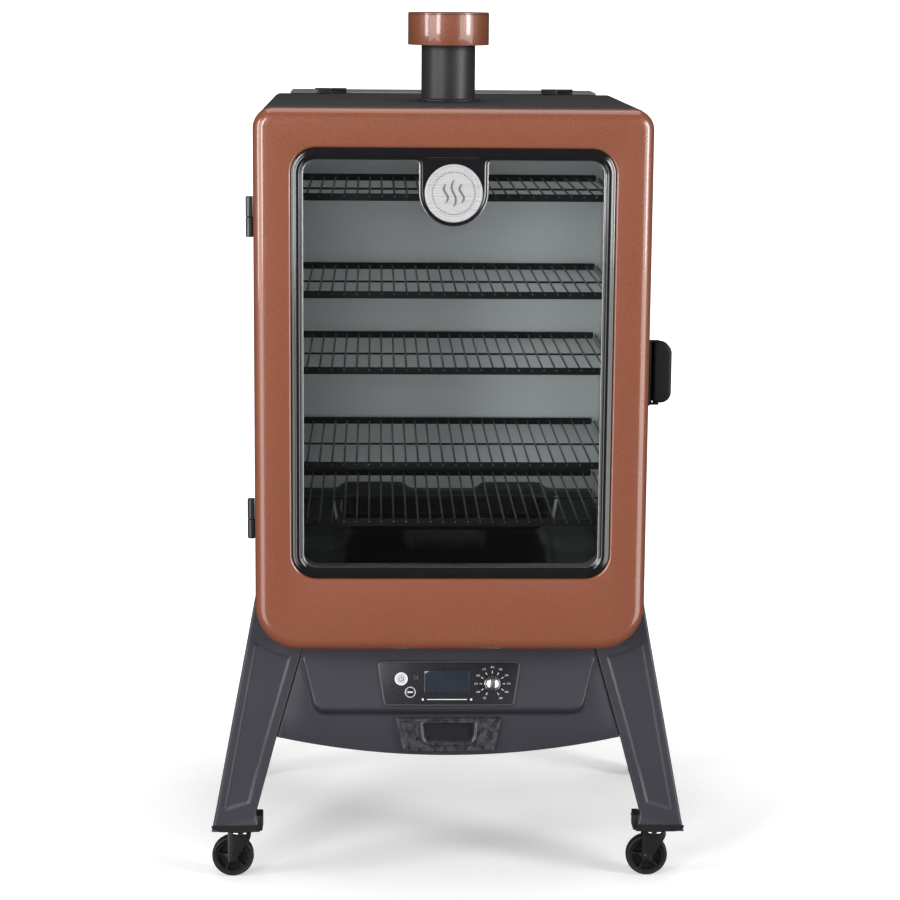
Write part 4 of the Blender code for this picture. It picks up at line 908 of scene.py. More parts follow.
def hopper():
    """Folded pellet bin with a rolled rim, its lid, and the lid's hinges."""
    bin_box, lid = Box("hopper_bin"), Box("hopper_lid")
    front, back, half = bin_box.y0, bin_box.y1, bin_box.half
    knee, throat = 0.800, bin_box.z0

    def ring(hx, y0, y1, z, corner):
        points = []
        for sx, y, sy, start in ((1, y0, 1, -90), (1, y1, -1, 0), (-1, y1, -1, 90), (-1, y0, 1, 180)):
            points += arc(sx * (hx - corner), y + sy * corner, corner, start, 90, 4)
        return [(x, y, z) for x, y in points]
    wall = 0.0022
    rings = [ring(half, front, back, bin_box.z1, 0.005), ring(half, front, back, bin_box.z1 - 0.0125, 0.005),
             ring(half - 0.0012, front + 0.0004, back - 0.0012, bin_box.z1 - 0.0140, 0.005),
             ring(half - 0.0012, front + 0.0004, back - 0.0012, knee + 0.006, 0.005),
             ring(half - 0.0030, front + 0.0006, back - 0.0025, knee - 0.002, 0.005),
             ring(0.042, 0.308, 0.378, throat + 0.012, 0.004),
             ring(0.040, 0.308, 0.378, throat + 0.010, 0.004),
             ring(0.040, 0.308, 0.378, throat, 0.004), ring(0.0375, 0.3105, 0.3755, throat, 0.003),
             ring(0.0375, 0.3105, 0.3755, throat + 0.011, 0.003),
             ring(half - 0.0015 - wall, front + wall + 0.001, back - 0.0015 - wall, knee + 0.001, 0.003),
             ring(half - wall - 0.0005, front + wall, back - wall - 0.0005, bin_box.z1, 0.003)]
    finish_mesh("pellet_bin", loft(rings, closed=True), "cabinet", "shell_paint", replaces=("hopper_bin",))
    for name, x in (("left", -0.14), ("right", 0.14)):
        rib = box_mesh((x - 0.004, back - 0.0016, 0.860), (x + 0.004, back - 0.0001, 1.220), 0.0014)
        finish_mesh(f"bin_rib_{name}", rib, "cabinet", "shell_paint")
    screws("bin_screws", [(x, back - 0.0012, z) for x in (-0.262, 0.262) for z in (0.85, 1.05, 1.25)]
           + [(x, back - 0.0012, 1.25) for x in (-0.09, 0.09)], (0, 1, 0), "cabinet", 0.0036, head=0.0011)
    top, under = lid.z0 + 0.0018, lid.z0
    y0, y1 = 0.2872, lid.y1
    rings = []
    for i in range(5):
        angle = math.pi / 2 * i / 4
        inset = 0.0012 * (1 - math.cos(angle))
        rings.append(ring(lid.half - inset, y0 + inset, y1 - inset, top - 0.0012 * (1 - math.sin(angle)),
                          0.012 - inset))
    rings = [ring(lid.half - 0.0012, y0 + 0.0012, y1 - 0.0012, under, 0.010)] + rings
    # The lid's mid-grey is painted reflection of the bright surroundings.
    finish_mesh("bin_lid", loft(rings), "hopper_lid", "lid_painted_sheen_grey", replaces=("hopper_lid",))
    axis_y, axis_z = JOINTS["hopper_lid_hinge"]["pos_m"][1:]
    for side, name in ((-1, "left"), (1, "right")):
        hinge = Box(f"lid_hinge_{name}")
        middle = hinge.centre.x
        radius = 0.0030
        bm = rod([(hinge.x0, axis_y, axis_z), (middle - 0.0006, axis_y, axis_z)], radius, 20)
        rod([(middle - 0.003, axis_y, axis_z), (hinge.x1, axis_y, axis_z)], 0.0018, 14, bm=bm)
        box_mesh((hinge.x0, hinge.y0, SHELL.z1 + 0.0004), (middle - 0.0006, axis_y - 0.001, SHELL.z1 + 0.0030),
                 0.0007, bm=bm)
        box_mesh((hinge.x0, 0.2768, SHELL.z1 + 0.0010), (middle - 0.0006, axis_y, axis_z), 0.0007, bm=bm)
        finish_mesh(f"bin_hinge_{name}", bm, "cabinet", "black_enamel", replaces=(f"lid_hinge_{name}",))
        bm = lathe([(radius, middle), (radius, hinge.x1), (0.0022, hinge.x1), (0.0022, middle)],
                   (0, axis_y, axis_z), (1, 0, 0), 20)
        box_mesh((middle + 0.0002, axis_y + 0.0018, lid.z0 + 0.0010), (hinge.x1, 0.3060, lid.z0 + 0.0034),
                 0.0007, bm=bm)
        finish_mesh(f"bin_hinge_leaf_{name}", bm, "hopper_lid", "black_enamel")


# ---- legs ----
def leg_y(z):
    """Front face of a leg, leaning out below the knee."""
    return LEG.y0_top - LEG_LEAN * max(0.0, LEG_KNEE - z)


def inner_edge(z):
    """Inner edge of a leg, through the bends of its outline."""
    for (z0, x0), (z1, x1) in zip(LEG_INNER, LEG_INNER[1:]):
        if z1 <= z <= z0:
            return x0 + (x1 - x0) * (z0 - z) / (z0 - z1)
    return LEG_INNER[0][1] if z > LEG_INNER[0][0] else LEG_INNER[-1][1]


def outer_edge(z):
    return LEG_OUTER[0] + LEG_OUTER[1] * (LEG_ROOF - z)


def smoothstep(t):
    t = min(1.0, max(0.0, t))
    return t * t * (3 - 2 * t)


def pressed(x, z):
    """Depth of the panel pressed into the leg's front face."""
    side = min(x - inner_edge(z) - 0.017, outer_edge(z) - 0.0145 - x)
    along = max(0.0, x - 0.266)
    crown = 0.380 + 0.25 * along + 3.27 * along * along
    base = 0.139 - 0.30 * (x - 0.333)
    edge = min(side, crown - z, z - base)
    return 0.0026 * smoothstep(edge / 0.0036 + 0.5)


def top_start(z):
    """Inner end of the leg's sheet above the knee, kept clear of the door seal's rounded corner."""
    if z < 0.430:
        return 0.2815 + math.sqrt(max(0.0, 0.020 ** 2 - (0.430 - z) ** 2))
    return min(0.3030, 0.3015 + 0.1 * (z - 0.430))


def leg(side, end):
    """Sheet leg: folded edges, a pressed front panel, and a bent facet above the foot."""
    words = ("front" if end > 0 else "rear") + "_" + ("left" if side < 0 else "right")
    low, knee, high = LEG.z0 + 0.009 + FOOT_LIFT, 0.4085, LEG.z1
    bend, lip, half_count = 0.0040, 0.020, 24
    bm = bmesh.new()

    def row(z, whole):
        inner, outer, y = inner_edge(z), outer_edge(z), leg_y(z)
        split = top_start(z) if z >= knee else 0.2815 + 0.17 * (knee - z)
        depth = 0.088 + 0.012 * min(1.0, (z - low) / (LEG_KNEE - low))
        path, xs = [], []
        if whole:
            path = [(inner, y + lip)]
            path += [(inner + bend * (1 - math.cos(a)), y + bend * (1 - math.sin(a)))
                     for a in (math.pi / 2 * i / 4 for i in range(5))]
            xs = [inner + bend + (split - inner - bend) * i / half_count for i in range(1, half_count)]
        xs += [split + (outer - bend - split) * i / half_count for i in range(half_count)]
        for x in xs:
            fold = max(0.0, 0.0945 + (outer - x) * 0.33 - z)
            path.append((x, y + pressed(x, z) - 0.11 * fold))
        path += [(outer - bend * (1 - math.sin(a)), y + bend * (1 - math.cos(a)))
                 for a in (math.pi / 2 * i / 4 for i in range(5))]
        path.append((outer, y + depth))
        return [bm.verts.new((side * x, end * py, z)) for x, py in path]
    rows = [row(low + (knee - low) * i / 120, True) for i in range(121)]
    upper = [rows[-1]] + [row(knee + (high - knee) * i / 24, False) for i in range(1, 25)]
    for a, b in list(zip(rows, rows[1:])) + list(zip(upper, upper[1:])):
        a = a[-len(b):]
        if side * end > 0:
            bridge(bm, a, b, closed=False)
        else:
            bridge(bm, b, a, closed=False)
    obj = finish_mesh(f"leg_{words}_panel", bm, "cabinet", "charcoal_paint", replaces=(f"leg_{words}",),
                      normals=False, smooth=60)
    solidify(obj, 0.0020)

    def block(x0, x1, y0, y1, z0, z1, bevel, bm=None):
        xs, ys = sorted((side * x0, side * x1)), sorted((end * y0, end * y1))
        return box_mesh((xs[0], ys[0], z0), (xs[1], ys[1], z1), bevel, bm=bm)
    y = leg_y(LEG_KNEE)
    foot = leg_y(LEG.z0 + 0.0095)
    sole = LEG.z0 + FOOT_LIFT
    plate = block(0.3125, 0.3925, foot - 0.0015, foot + 0.0885, sole + 0.0002, sole + 0.0030, 0.0010)
    outline = [(0.3120, sole + 0.0125), (0.3925, sole + 0.0105), (0.3925, sole + 0.0070),
               (0.3790, sole + 0.0002), (0.3240, sole + 0.0002), (0.3120, sole + 0.0060)]
    loft([[(side * x, end * (foot - 0.0019), z) for x, z in outline],
          [(side * x, end * (foot + 0.0006), z) for x, z in outline]], bm=plate)
    block(0.3085, 0.3200, foot + 0.0030, foot + 0.0400, sole + 0.0010, sole + 0.0265, 0.0010, bm=plate)
    finish_mesh(f"foot_bracket_{words}", plate, "cabinet", "black_enamel")
    head = block(0.2620, 0.3330, y + 0.0040, y + 0.0900, 0.3978, 0.4010, 0.0010)
    finish_mesh(f"leg_{words}_flange", head, "cabinet", "charcoal_paint")
    if end < 0:
        screws(f"leg_{words}_bolts", [(side * 0.3110, end * y, z) for z in (0.425, 0.458)], (0, -end, 0),
               "cabinet", 0.0040)


# ---- apron and controls ----
def apron_y(z):
    return leg_y(z) + 0.005


def panel_y(z):
    return apron_y(PANEL_TOP) - 0.001 - PANEL_SLOPE * (PANEL_TOP - z)


def panel_point(x, z, out=0.0):
    """Point over the control face, moved out along its normal."""
    return Vector((x, panel_y(z), z)) + PANEL_OUT * out


def on_panel(outline, out):
    return [panel_point(x, z, out) for x, z in outline]


def apron():
    """Pressed front panel: leaning control pod with soft fillets, folded lower edge."""
    box = Box("apron")
    top, side_x, side_z, mid_z = box.z1, box.half + 0.0006, 0.2465, 0.216
    rise = side_z - mid_z
    radius = (side_x ** 2 + rise ** 2) / (2 * rise)
    outline = []
    for i in range(61):
        x = -side_x + 2 * side_x * i / 60
        outline.append((x, mid_z + radius - math.sqrt(radius ** 2 - x ** 2)))
    neck = 0.2402
    right = [(side_x + (neck - side_x) * t, side_z + (top - side_z) * t) for t in (0.25, 0.5, 0.75, 1.0)]
    across = [(neck - 2 * neck * i / 24, top) for i in range(1, 25)]
    left = [(-x, z) for x, z in reversed(right[:-1])]
    outline += right + across + left
    base = (0.2450, 0.2270, 0.3880, 0.2800, 0.010, 0.026)
    face = (0.2398, 0.2178, PANEL_TOP, 0.3018, 0.008, 0.018)

    def ring(t, proud, spread=0.0):
        mix = [a + (b - a) * t for a, b in zip(base, face)]
        shape = offset(trapezoid(*mix, steps=10), -spread)
        return [(x, apron_y(z) + (panel_y(z) - apron_y(z)) * proud, z) for x, z in shape]
    steps = ((0.0, 0.0), (0.10, 0.006), (0.20, 0.03), (0.30, 0.12), (0.38, 0.28), (0.46, 0.46), (0.56, 0.64),
             (0.67, 0.80), (0.77, 0.91), (0.86, 0.97), (0.93, 0.993), (1.0, 1.0), (1.12, 1.0))
    bm = bmesh.new()
    rows = [[bm.verts.new(p) for p in ring(t, proud)] for t, proud in steps]
    for a, b in zip(rows, rows[1:]):
        bridge(bm, a, b)
    bm.faces.new(rows[-1])
    fold = [bm.verts.new((x, apron_y(z), z)) for x, z in offset(outline, 0.0018)]
    edges = [bm.edges.new((fold[i], fold[(i + 1) % len(fold)])) for i in range(len(fold))]
    inner = [bm.edges.get((rows[0][i], rows[0][(i + 1) % len(rows[0])])) for i in range(len(rows[0]))]
    bmesh.ops.triangle_fill(bm, edges=edges + inner, use_beauty=True)
    before = fold
    for inset, deep in ((0.0006, 0.0005), (0.0, 0.0018), (0.0, 0.0120)):
        after = [bm.verts.new((x, apron_y(z) + deep, z)) for x, z in offset(outline, inset)]
        bridge(bm, before, after)
        before = after
    bmesh.ops.recalc_face_normals(bm, faces=bm.faces)
    centre_face = max(bm.faces, key=lambda f: f.calc_area())
    if centre_face.normal.y > 0:
        bmesh.ops.reverse_faces(bm, faces=bm.faces)
    obj = finish_mesh("apron_panel", bm, "cabinet", "charcoal_paint", replaces=("apron",),
                      normals=False, smooth=28)
    solidify(obj, 0.0018)
    obj.modifiers["sheet"].use_even_offset = False
    for side, word in ((-1, "left"), (1, "right")):
        rings = []
        for z in (0.2560, 0.3000, 0.3500, 0.3930):
            near, far, y = side * (inner_edge(z) - 0.012), side * (inner_edge(z) + 0.014), leg_y(z) + 0.0215
            rings.append([(near, y, z), (far, y, z), (far, y + 0.0015, z), (near, y + 0.0015, z)])
        finish_mesh(f"apron_bracket_{word}", loft(rings), "cabinet", "charcoal_paint")


def faceplate():
    """Black control plate with a fine border, the display in its surround, and a printed rule."""
    shape = trapezoid(0.1197, 0.1075, 0.3741, 0.3020, 0.008, 0.008, 8)
    plate = loft([on_panel(shape, 0.0005), on_panel(shape, 0.0018), on_panel(offset(shape, 0.0004), 0.0023),
                  on_panel(offset(shape, 0.0010), 0.0025)])
    finish_mesh("control_plate", plate, "cabinet", "plate_black", replaces=("faceplate",))

    def band(outline, width, low, high):
        inner = offset(outline, width)
        section = ((outline, low), (outline, high), (inner, high), (inner, low))
        return loft([on_panel(edge, out) for edge, out in section], closed=True)
    finish_mesh("control_plate_border", band(offset(shape, 0.0016), 0.0007, 0.0024, 0.00265), "cabinet",
                "print_grey")
    lcd = rounded(0.0372, 0.3241, 0.3582, 0.0012, 0.0012, 3, x=-0.0035)
    finish_mesh("display_surround", band(offset(lcd, -0.0012), 0.0012, 0.0024, 0.0029), "cabinet",
                "plate_black")
    screen = loft([on_panel(lcd, 0.0012), on_panel(lcd, 0.0026), on_panel(offset(lcd, 0.0004), 0.0028)])
    finish_mesh("display_screen", screen, "cabinet", "display_window", replaces=("display_window",))
    rule = rounded(0.0330, 0.3120, 0.3134, 0.0006, 0.0006, 3, x=-0.0035)
    rule = loft([on_panel(rule, 0.0024), on_panel(rule, 0.0027)])
    for x in (-0.0435, 0.0365):
        dot = arc(x, 0.3127, 0.0019, 0, 330, 11)
        loft([on_panel(dot, 0.0024), on_panel(dot, 0.0027)], bm=rule)
    finish_mesh("control_plate_rule", rule, "cabinet", "print_white")


def panel_frame():
    """Rotation that lays local XY on the control face, +Z out of it."""
    return Matrix((ACROSS, PANEL_UP, PANEL_OUT)).transposed().to_4x4()


def label(name, text, x, z, size):
    """Printed number on the control face."""
    curve = bpy.data.curves.new(name, "FONT")
    curve.body = text
    curve.size = size
    curve.align_x = "CENTER"
    curve.align_y = "CENTER"
    curve.extrude = 0.0001
    obj = add_object(name, curve)
    obj.matrix_world = Matrix.Translation(panel_point(x, z, 0.0026)) @ panel_frame()
    obj.data.materials.append(MATERIALS["print_white"])
    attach(obj, "cabinet")


def dial_scale(cx, cz):
    """Eleven ticks from lower left, over the top, to lower right, with temperature numbers outside."""
    numbers = ("150", "200", "225", "250", "275", "300", "325", "350", "375", "400", "420")
    centre = panel_point(cx, cz, 0.0025)
    bm = bmesh.new()
    for i, number in enumerate(numbers):
        angle = math.radians(240 - 30 * i)
        ray = ACROSS * math.cos(angle) + PANEL_UP * math.sin(angle)
        across = PANEL_UP * math.cos(angle) - ACROSS * math.sin(angle)
        corners = []
        for reach, wide in ((0.0168, 0.00045), (0.0212, 0.0006)):
            corners += [ray * reach - across * wide, ray * reach + across * wide]
        ring = [corners[0], corners[2], corners[3], corners[1]]
        loft([[centre + p for p in ring], [centre + p + PANEL_OUT * 0.0002 for p in ring]], bm=bm)
        place = centre + ray * 0.0272
        number_z = cz + (place - centre).dot(PANEL_UP) * PANEL_UP.z
        label(f"dial_number_{number}", number, place.x, number_z, 0.0040)
    finish_mesh("dial_ticks", bm, "cabinet", "print_white")


def button(node, ring_material, cap_material, rim):
    """Round push button with a rim and a dished cap; gives the middle of its face."""
    box = Box(node)
    radius = box.half
    out = -Vector(next(j for j in frame["joints"] if j["child"] == node)["axis"])
    centre = box.centre
    face = (box.y1 - box.y0 - 2 * radius * abs(out.z)) / (2 * abs(out.y))
    profile = [(0.0, -face + 0.001), (radius - 0.0006, -face + 0.001), (radius - 0.0002, -face + 0.0016),
               (radius - 0.0002, face - 0.0008), (radius - 0.0008, face - 0.0001), (radius - rim * 0.6, face),
               (radius - rim, face - 0.0004), (radius - rim - 0.0003, face - 0.0011), (0.0, face - 0.0011)]
    finish_mesh(node + "_rim", lathe(profile, centre, out, 48, closed=False), node, ring_material,
                replaces=(node,))
    cap = radius - rim - 0.0005
    profile = [(0.0, face - 0.0012), (cap, face - 0.0012), (cap, face - 0.0004), (cap - 0.0005, face - 0.0001),
               (0.0, face - 0.0003)]
    finish_mesh(node + "_cap", lathe(profile, centre, out, 48, closed=False), node, cap_material)
    return centre + out * (face - 0.0001)


def printed(outline, centre, bm=None):
    """Thin print of an outline on a button's face."""
    return loft([[centre + ACROSS * x + PANEL_UP * z + PANEL_OUT * out for x, z in outline]
                 for out in (0.0, MARK_HEIGHT)], bm=bm)


def power_mark(centre):
    """Ring with a gap and a bar, the common on-off sign."""
    inner, outer = 0.0034, 0.0044

    def at(radius, degrees, out):
        a = math.radians(degrees)
        return centre + ACROSS * radius * math.cos(a) + PANEL_UP * radius * math.sin(a) + PANEL_OUT * out
    section = ((inner, 0.0), (inner, MARK_HEIGHT), (outer, MARK_HEIGHT), (outer, 0.0))
    bm = loft([[at(radius, degrees, out) for radius, out in section] for degrees in range(130, 411, 10)])
    bar = [(-0.0005, 0.0012), (0.0005, 0.0012), (0.0005, 0.0056), (-0.0005, 0.0056)]
    printed(bar, centre, bm)
    finish_mesh("power_button_mark", bm, "power_button", "print_grey")


def prime_mark(centre):
    """Short bar across the feed button's cap."""
    bar = rounded(0.0042, -0.0012, 0.0012, 0.0008, 0.0008, 3)
    finish_mesh("prime_button_mark", printed(bar, centre), "prime_button", "print_white")


def dial():
    """Domed satin knob with a plain skirt and a pointer line."""
    origin = Vector(JOINTS["dial_turn"]["pos_m"])
    radius = 0.0132
    profile = [(0.0, 0.0168), (0.0040, 0.0166), (0.0072, 0.0158), (0.0098, 0.0142), (0.0112, 0.0122),
               (0.0120, 0.0098), (0.0124, 0.0072), (0.0125, 0.0060), (radius, 0.0054), (radius, 0.0034),
               (0.0127, 0.0030), (0.0042, 0.0030), (0.0040, -0.0110), (0.0, -0.0110)]
    finish_mesh("dial_knob", lathe(profile, origin, PANEL_OUT, 72, closed=False), "temperature_dial",
                "satin_chrome", replaces=("temperature_dial",), smooth=30)
    angle = math.radians(240)
    direction = ACROSS * math.cos(angle) + PANEL_UP * math.sin(angle)
    across = direction.cross(PANEL_OUT)
    rings = []
    for reach, height in ((0.0050, 0.0163), (0.0080, 0.0155), (0.0105, 0.0136), (0.0119, 0.0108)):
        middle = origin + direction * reach + PANEL_OUT * height
        rings.append([middle + across * wide + PANEL_OUT * rise for wide, rise in
                      ((-0.0006, -0.001), (-0.0006, 0.0003), (0.0006, 0.0003), (0.0006, -0.001))])
    finish_mesh("dial_pointer", loft(rings), "temperature_dial", "black_plastic")


def drawer_front():
    """Cast trapezoid front with a recessed grip and a rounded lower lip."""
    box = Box("drawer_front")
    high, low = box.z1, box.z0
    shape = trapezoid(0.0885, 0.0760, high, low, 0.003, 0.004, 4)

    def grip_outline(steps):
        return trapezoid(0.0425, 0.0400, 0.2712, 0.2400, 0.004, 0.010, steps)

    def at(outline, proud):
        return [(x, apron_y(z) - proud, z) for x, z in outline]
    grip = grip_outline(4)
    face = ((0.0006, 0.0066), (0.0016, 0.0076), (0.0042, 0.0080), (0.0052, 0.0070), (0.0062, 0.0070))
    recess = ((-0.0050, 0.0066), (-0.0010, 0.0064), (0.0004, 0.0050), (0.0012, 0.0016))
    rings = [at(shape, 0.0007), at(shape, 0.0052)]
    rings += [at(offset(shape, inset), proud) for inset, proud in face]
    rings += [at(offset(grip, inset), proud) for inset, proud in recess]
    finish_mesh("drawer_casting", loft(rings), "grease_drawer", "cast_black", replaces=("drawer_front",))
    # Dark plate laid on the grip recess's floor: painted shade in the recess.
    shade_plate_outline = offset(grip, 0.0016)
    finish_mesh("drawer_grip_painted_shade", loft([at(shade_plate_outline, 0.0017), at(shade_plate_outline, 0.0023)]), "grease_drawer", "plate_black")
    lip_steps = ((0.0002, 0.0068), (-0.0012, 0.0096), (-0.0030, 0.0104), (-0.0050, 0.0094), (-0.0056, 0.0070))
    lip = [at(offset(grip_outline(6), inset), proud * 0.92) for inset, proud in lip_steps]
    finish_mesh("drawer_grip_lip", loft(lip, closed=True), "grease_drawer", "cast_black",
                smooth=60)


# ---- casters ----
def caster(words):
    """Swivel fork with a turned head, its axle and ring, and the wheel."""
    fork_joint, wheel_joint = JOINTS["swivel_" + words], JOINTS["wheel_spin_" + words]
    stem, hub = Vector(fork_joint["pos_m"]), Vector(wheel_joint["pos_m"])
    axle = Vector(wheel_joint["axis"]).normalized()
    ahead = Vector((hub.x - stem.x, hub.y - stem.y, 0)).normalized()
    trail = Vector((hub.x - stem.x, hub.y - stem.y, 0)).length
    place = Matrix((ahead, Vector((0, 0, 1)).cross(ahead), Vector((0, 0, 1)))).transposed().to_4x4()
    place.translation = Vector((stem.x, stem.y, 0))
    fork = Box("caster_fork_" + words)
    bm = lathe([(0.0, 0.0772), (0.0150, 0.0772), (0.0160, 0.0778), (0.0160, 0.0800), (0.0150, 0.0808),
                (0.0110, 0.0810), (0.0105, 0.0838 + FOOT_LIFT), (0.0, 0.0838 + FOOT_LIFT)],
               (0, 0, 0), (0, 0, 1), 40, closed=False)
    steps = 14
    for side in (-1, 1):
        rings = []
        for i in range(steps + 1):
            t = i / steps
            z = 0.0765 - (0.0765 - hub.z + 0.0075) * t
            narrow = 1 - smoothstep(t)
            front_x = -0.0190 * narrow + (trail - 0.0075) * (1 - narrow)
            back_x = 0.0200 * narrow + (trail + 0.0075) * (1 - narrow)
            bulge = 0.0128 + 0.0016 * (1 - t)
            y0, y1 = side * bulge, side * (bulge + 0.0020)
            rings.append([(front_x, y0, z), (front_x, y1, z), (front_x + 0.001, y1 + side * 0.0004, z),
                          (back_x - 0.001, y1 + side * 0.0004, z), (back_x, y1, z), (back_x, y0, z)])
        loft(rings, bm=bm)
    box_mesh((-0.0190, -0.0150, 0.0745), (0.0200, 0.0150, 0.0776), 0.0012, bm=bm)
    bmesh.ops.transform(bm, matrix=place, verts=bm.verts)
    finish_mesh(f"caster_{words}_fork", bm, "caster_" + words, "black_enamel",
                replaces=("caster_fork_" + words,))
    bm = bmesh.new()
    rod([hub - axle * 0.0150, hub + axle * 0.0150], 0.0035, 20, bm=bm)
    for side in (-1, 1):
        nut = [(0.0, 0.0150), (0.0060, 0.0150), (0.0060, 0.0168), (0.0052, 0.0176), (0.0, 0.0180)]
        lathe(nut, hub, axle * side, 6, closed=False, bm=bm)
    finish_mesh(f"caster_{words}_axle", bm, "caster_" + words, "black_enamel")
    ring = lathe([(0.0140, 0.0756), (0.0176, 0.0756), (0.0180, 0.0762), (0.0180, 0.0772), (0.0176, 0.0778),
                  (0.0140, 0.0778)], (stem.x, stem.y, 0), (0, 0, 1), 40)
    finish_mesh(f"caster_{words}_ring", ring, "caster_" + words, "chrome")
    wheel(words, hub, axle)


def mirrored(half):
    """The same lathe points on the wheel's other side."""
    return [(radius, -height) for radius, height in reversed(half)]


def wheel(words, hub, axle):
    """Moulded wheel: rounded tread, rim, five spokes and a hub."""
    radius = Box("caster_wheel_" + words).z1 - hub.z
    half = [(0.0285, 0.0088), (0.0300, 0.0102), (0.0320, 0.0104), (0.0338, 0.0092), (radius - 0.0004, 0.0062)]
    tread = half + [(radius, 0.0)] + mirrored(half) + [(0.0280, 0.0)]
    finish_mesh(f"caster_{words}_tread", lathe(tread, hub, axle, 64), "wheel_" + words, "tread",
                replaces=("caster_wheel_" + words,), smooth=60)
    half = [(0.0250, 0.0095), (0.0282, 0.0098), (0.0284, 0.0085)]
    bm = lathe(half + [(0.0281, 0.0)] + mirrored(half) + [(0.0246, -0.0080), (0.0246, 0.0080)], hub, axle, 64)
    half = [(0.0042, 0.0116), (0.0078, 0.0116), (0.0086, 0.0105)]
    lathe(half + [(0.0088, 0.0)] + mirrored(half), hub, axle, 40, bm=bm)
    half = [(0.0080, 0.0012), (0.0248, 0.0012)]
    lathe(half + mirrored(half), hub, axle, 48, bm=bm)
    side = axle.orthogonal().normalized()
    other = axle.cross(side)
    for i in range(5):
        a = 2 * math.pi * i / 5 + 0.3
        ray = side * math.cos(a) + other * math.sin(a)
        across = axle.cross(ray)
        rings = []
        stations = ((0.0080, 0.0030, 0.0098), (0.0150, 0.0017, 0.0072), (0.0250, 0.0026, 0.0088))
        for reach, wide, thick in stations:
            rings.append([hub + ray * reach + across * wide * sx + axle * thick * sy
                          for sx, sy in ((-1, -1), (1, -1), (1, 1), (-1, 1))])
        loft(rings, bm=bm)
    finish_mesh(f"caster_{words}_spokes", bm, "wheel_" + words, "black_plastic")


# ---- carried-over frame pieces ----
def repaint():
    """Give each shown CAD node its material, and soften its folded edges."""
    special = {"inner_liner": "liner_steel", "auger_motor": "black_enamel", "cap_nut": "chrome"}
    no_bevel = {"auger_screw", "inner_liner", "blower_wheel"}
    for node, obj in frame["nodes"].items():
        if obj.hide_render:
            continue
        obj.data.materials.clear()
        obj.data.materials.append(MATERIALS[special.get(node, SLOT_OF[node])])
        if node not in no_bevel:
            bevelled(obj, 0.0006, 40)


# ---- set ----
def area_light(name, place, target, size, power):
    """Rectangular lamp aimed at a point."""
    light = bpy.data.lights.new(name, "AREA")
    light.shape = "RECTANGLE"
    light.size, light.size_y = size
    light.energy = power
    obj = add_object(name, light)
    obj.location = place
    obj.rotation_euler = (Vector(target) - Vector(place)).to_track_quat("-Z", "Y").to_euler()
    return obj


def by_ray(tree, seen, glossy, other):
    """Value that differs for camera rays, glossy rays and the rest."""
    path = tree.nodes.new("ShaderNodeLightPath")
    result = None
    for name, low, high in (("Is Glossy Ray", other, glossy), ("Is Camera Ray", None, seen)):
        step = tree.nodes.new("ShaderNodeMapRange")
        tree.links.new(path.outputs[name], step.inputs["Value"])
        if low is None:
            tree.links.new(result, step.inputs["To Min"])
        else:
            step.inputs["To Min"].default_value = low
        if isinstance(high, bpy.types.NodeSocket):
            tree.links.new(high, step.inputs["To Max"])
        else:
            step.inputs["To Max"].default_value = high
        result = step.outputs["Result"]
    return result


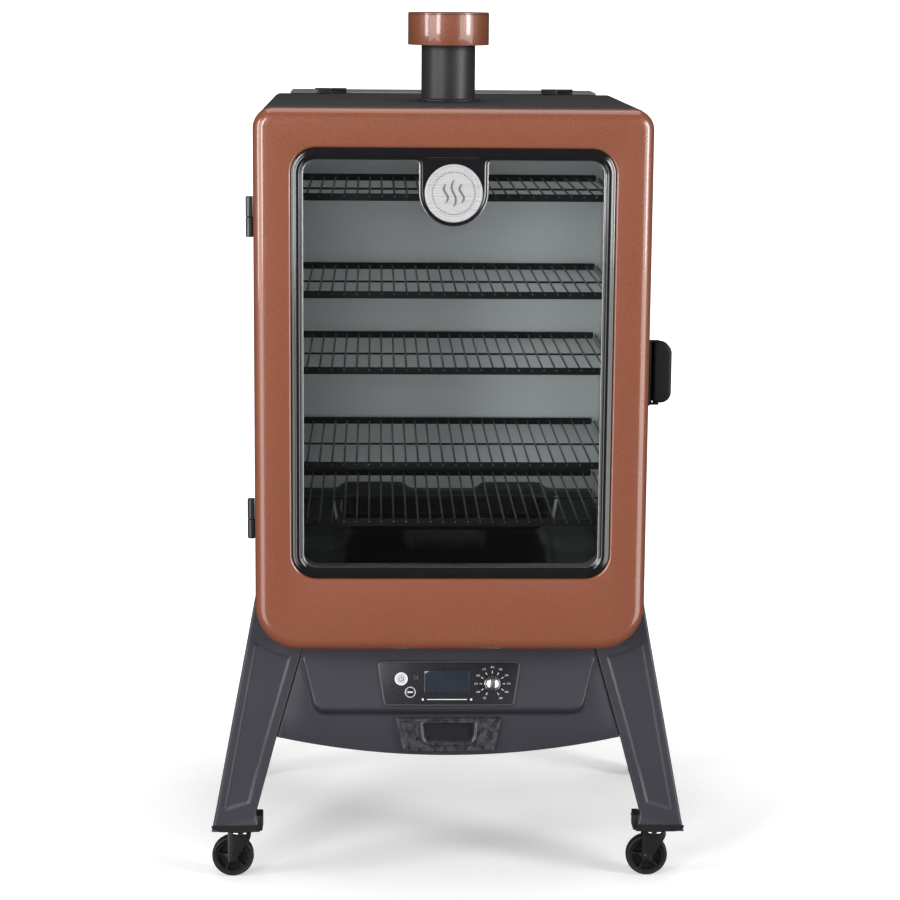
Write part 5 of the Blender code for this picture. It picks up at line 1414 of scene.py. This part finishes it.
def studio():
    """Pale floor curving into a backdrop, soft boxes each side, and a white sky."""
    bm = bmesh.new()
    reach, bend_y, sweep = 9.0, 3.0, 2.0
    profile = [(-reach, 0.0), (bend_y, 0.0)]
    profile += [(bend_y + sweep * math.sin(a), sweep - sweep * math.cos(a))
                for a in (math.pi / 2 * i / 12 for i in range(1, 13))]
    profile += [(bend_y + sweep, reach)]
    rows = [[bm.verts.new((x, y, z - 0.0002)) for y, z in profile] for x in (-reach, reach)]
    bridge(bm, rows[0], rows[1], closed=False)
    mesh = bpy.data.meshes.new("floor")
    bm.to_mesh(mesh)
    bm.free()
    mesh.shade_smooth()
    floor = add_object("floor", mesh)
    n = Nodes("floor")
    n.set(Roughness=0.9, Emission_Color=(1, 1, 1, 1), Specular_IOR_Level=0.0)
    distance = n.new("ShaderNodeVectorMath", operation="LENGTH")
    n.link(n.place, distance.inputs[0])
    # Camera-seen floor glow is dimmer near the smoker and full white further out: painted shadow on the floor
    # round it, added to the lamps' real shadow.
    floor_glow_with_painted_shadow = n.ramp(distance.outputs["Value"], 0.27, 1.0, 0.35, 1.9)
    n.feed(Emission_Strength=by_ray(n.tree, floor_glow_with_painted_shadow, 0.0, 0.05))
    n.feed(Base_Color=by_ray(n.tree, 0.80, 0.04, 0.50))
    mesh.materials.append(n.material)
    floor.visible_glossy = False
    target = (0, 0, 0.75)
    area_light("key_left", (-2.1, -3.6, 1.9), target, (0.8, 2.6), 75)
    area_light("side_left", (-3.9, -1.7, 1.8), target, (0.8, 2.6), 80)
    area_light("key_right", (3.5, -2.3, 1.9), target, (0.9, 2.6), 105)
    fill = area_light("front_fill", (-0.3, -6.2, 1.5), target, (2.8, 1.3), 130)
    fill.visible_glossy = False
    sheens = (("sheen_left", -2.9, -3.1, 2.4, 115), ("sheen_right", 3.3, -2.7, 3.2, 180))
    for name, x, y, wide, power in sheens:
        sheen = area_light(name, (x, y, 0.6), (0, 0, 0.6), (wide, 4.6), power)
        sheen.visible_diffuse = False
    area_light("top", (0.0, 0.4, 4.2), (0, 0, 0.6), (3.4, 3.0), 60)
    world = bpy.data.worlds.new("studio")
    world.use_nodes = True
    nodes, links = world.node_tree.nodes, world.node_tree.links
    links.new(by_ray(world.node_tree, 1.0, 0.06, 0.20), nodes["Background"].inputs["Strength"])
    nodes["Background"].inputs["Color"].default_value = (1, 1, 1, 1)
    bpy.context.scene.world = world
    scene = bpy.context.scene
    scene.view_settings.view_transform = "Standard"


def camera():
    """Long lens at chest height, looking slightly down at the front."""
    data = bpy.data.cameras.new("camera")
    data.lens, data.sensor_width = 100.4, 36.0
    obj = add_object("camera", data)
    turn = Matrix.Rotation(math.radians(-1.735), 4, "Z") @ Matrix.Rotation(math.radians(79.64), 4, "X")
    roll = Matrix.Rotation(math.radians(0.45), 4, "Z")
    obj.matrix_world = Matrix.Translation((-0.123, -4.308, 1.465)) @ turn @ roll
    bpy.context.scene.camera = obj


# ---- the object ----
door_skin()
window_bezel()
badge_tab()
badge()
window_bead()
glass_and_seal()
door_inner_pan()
door_hinges()
latch()
cabinet_shell()
racks()
heat_baffle()
water_pan()
chimney()
hopper()
for side_sign in (-1, 1):
    for end_sign in (1, -1):
        leg(side_sign, end_sign)
apron()
faceplate()
DIAL_AT = JOINTS["dial_turn"]["pos_m"]
dial_scale(DIAL_AT[0], DIAL_AT[2])
power_mark(button("power_button", "white_plastic", "button_grey", 0.0026))
prime_mark(button("prime_button", "print_white", "plate_black", 0.0013))
button("program_button", "print_grey", "plate_black", 0.0009)
dial()
drawer_front()
for corner_name in ("front_left", "front_right", "rear_left", "rear_right"):
    caster(corner_name)
repaint()
studio()
camera()
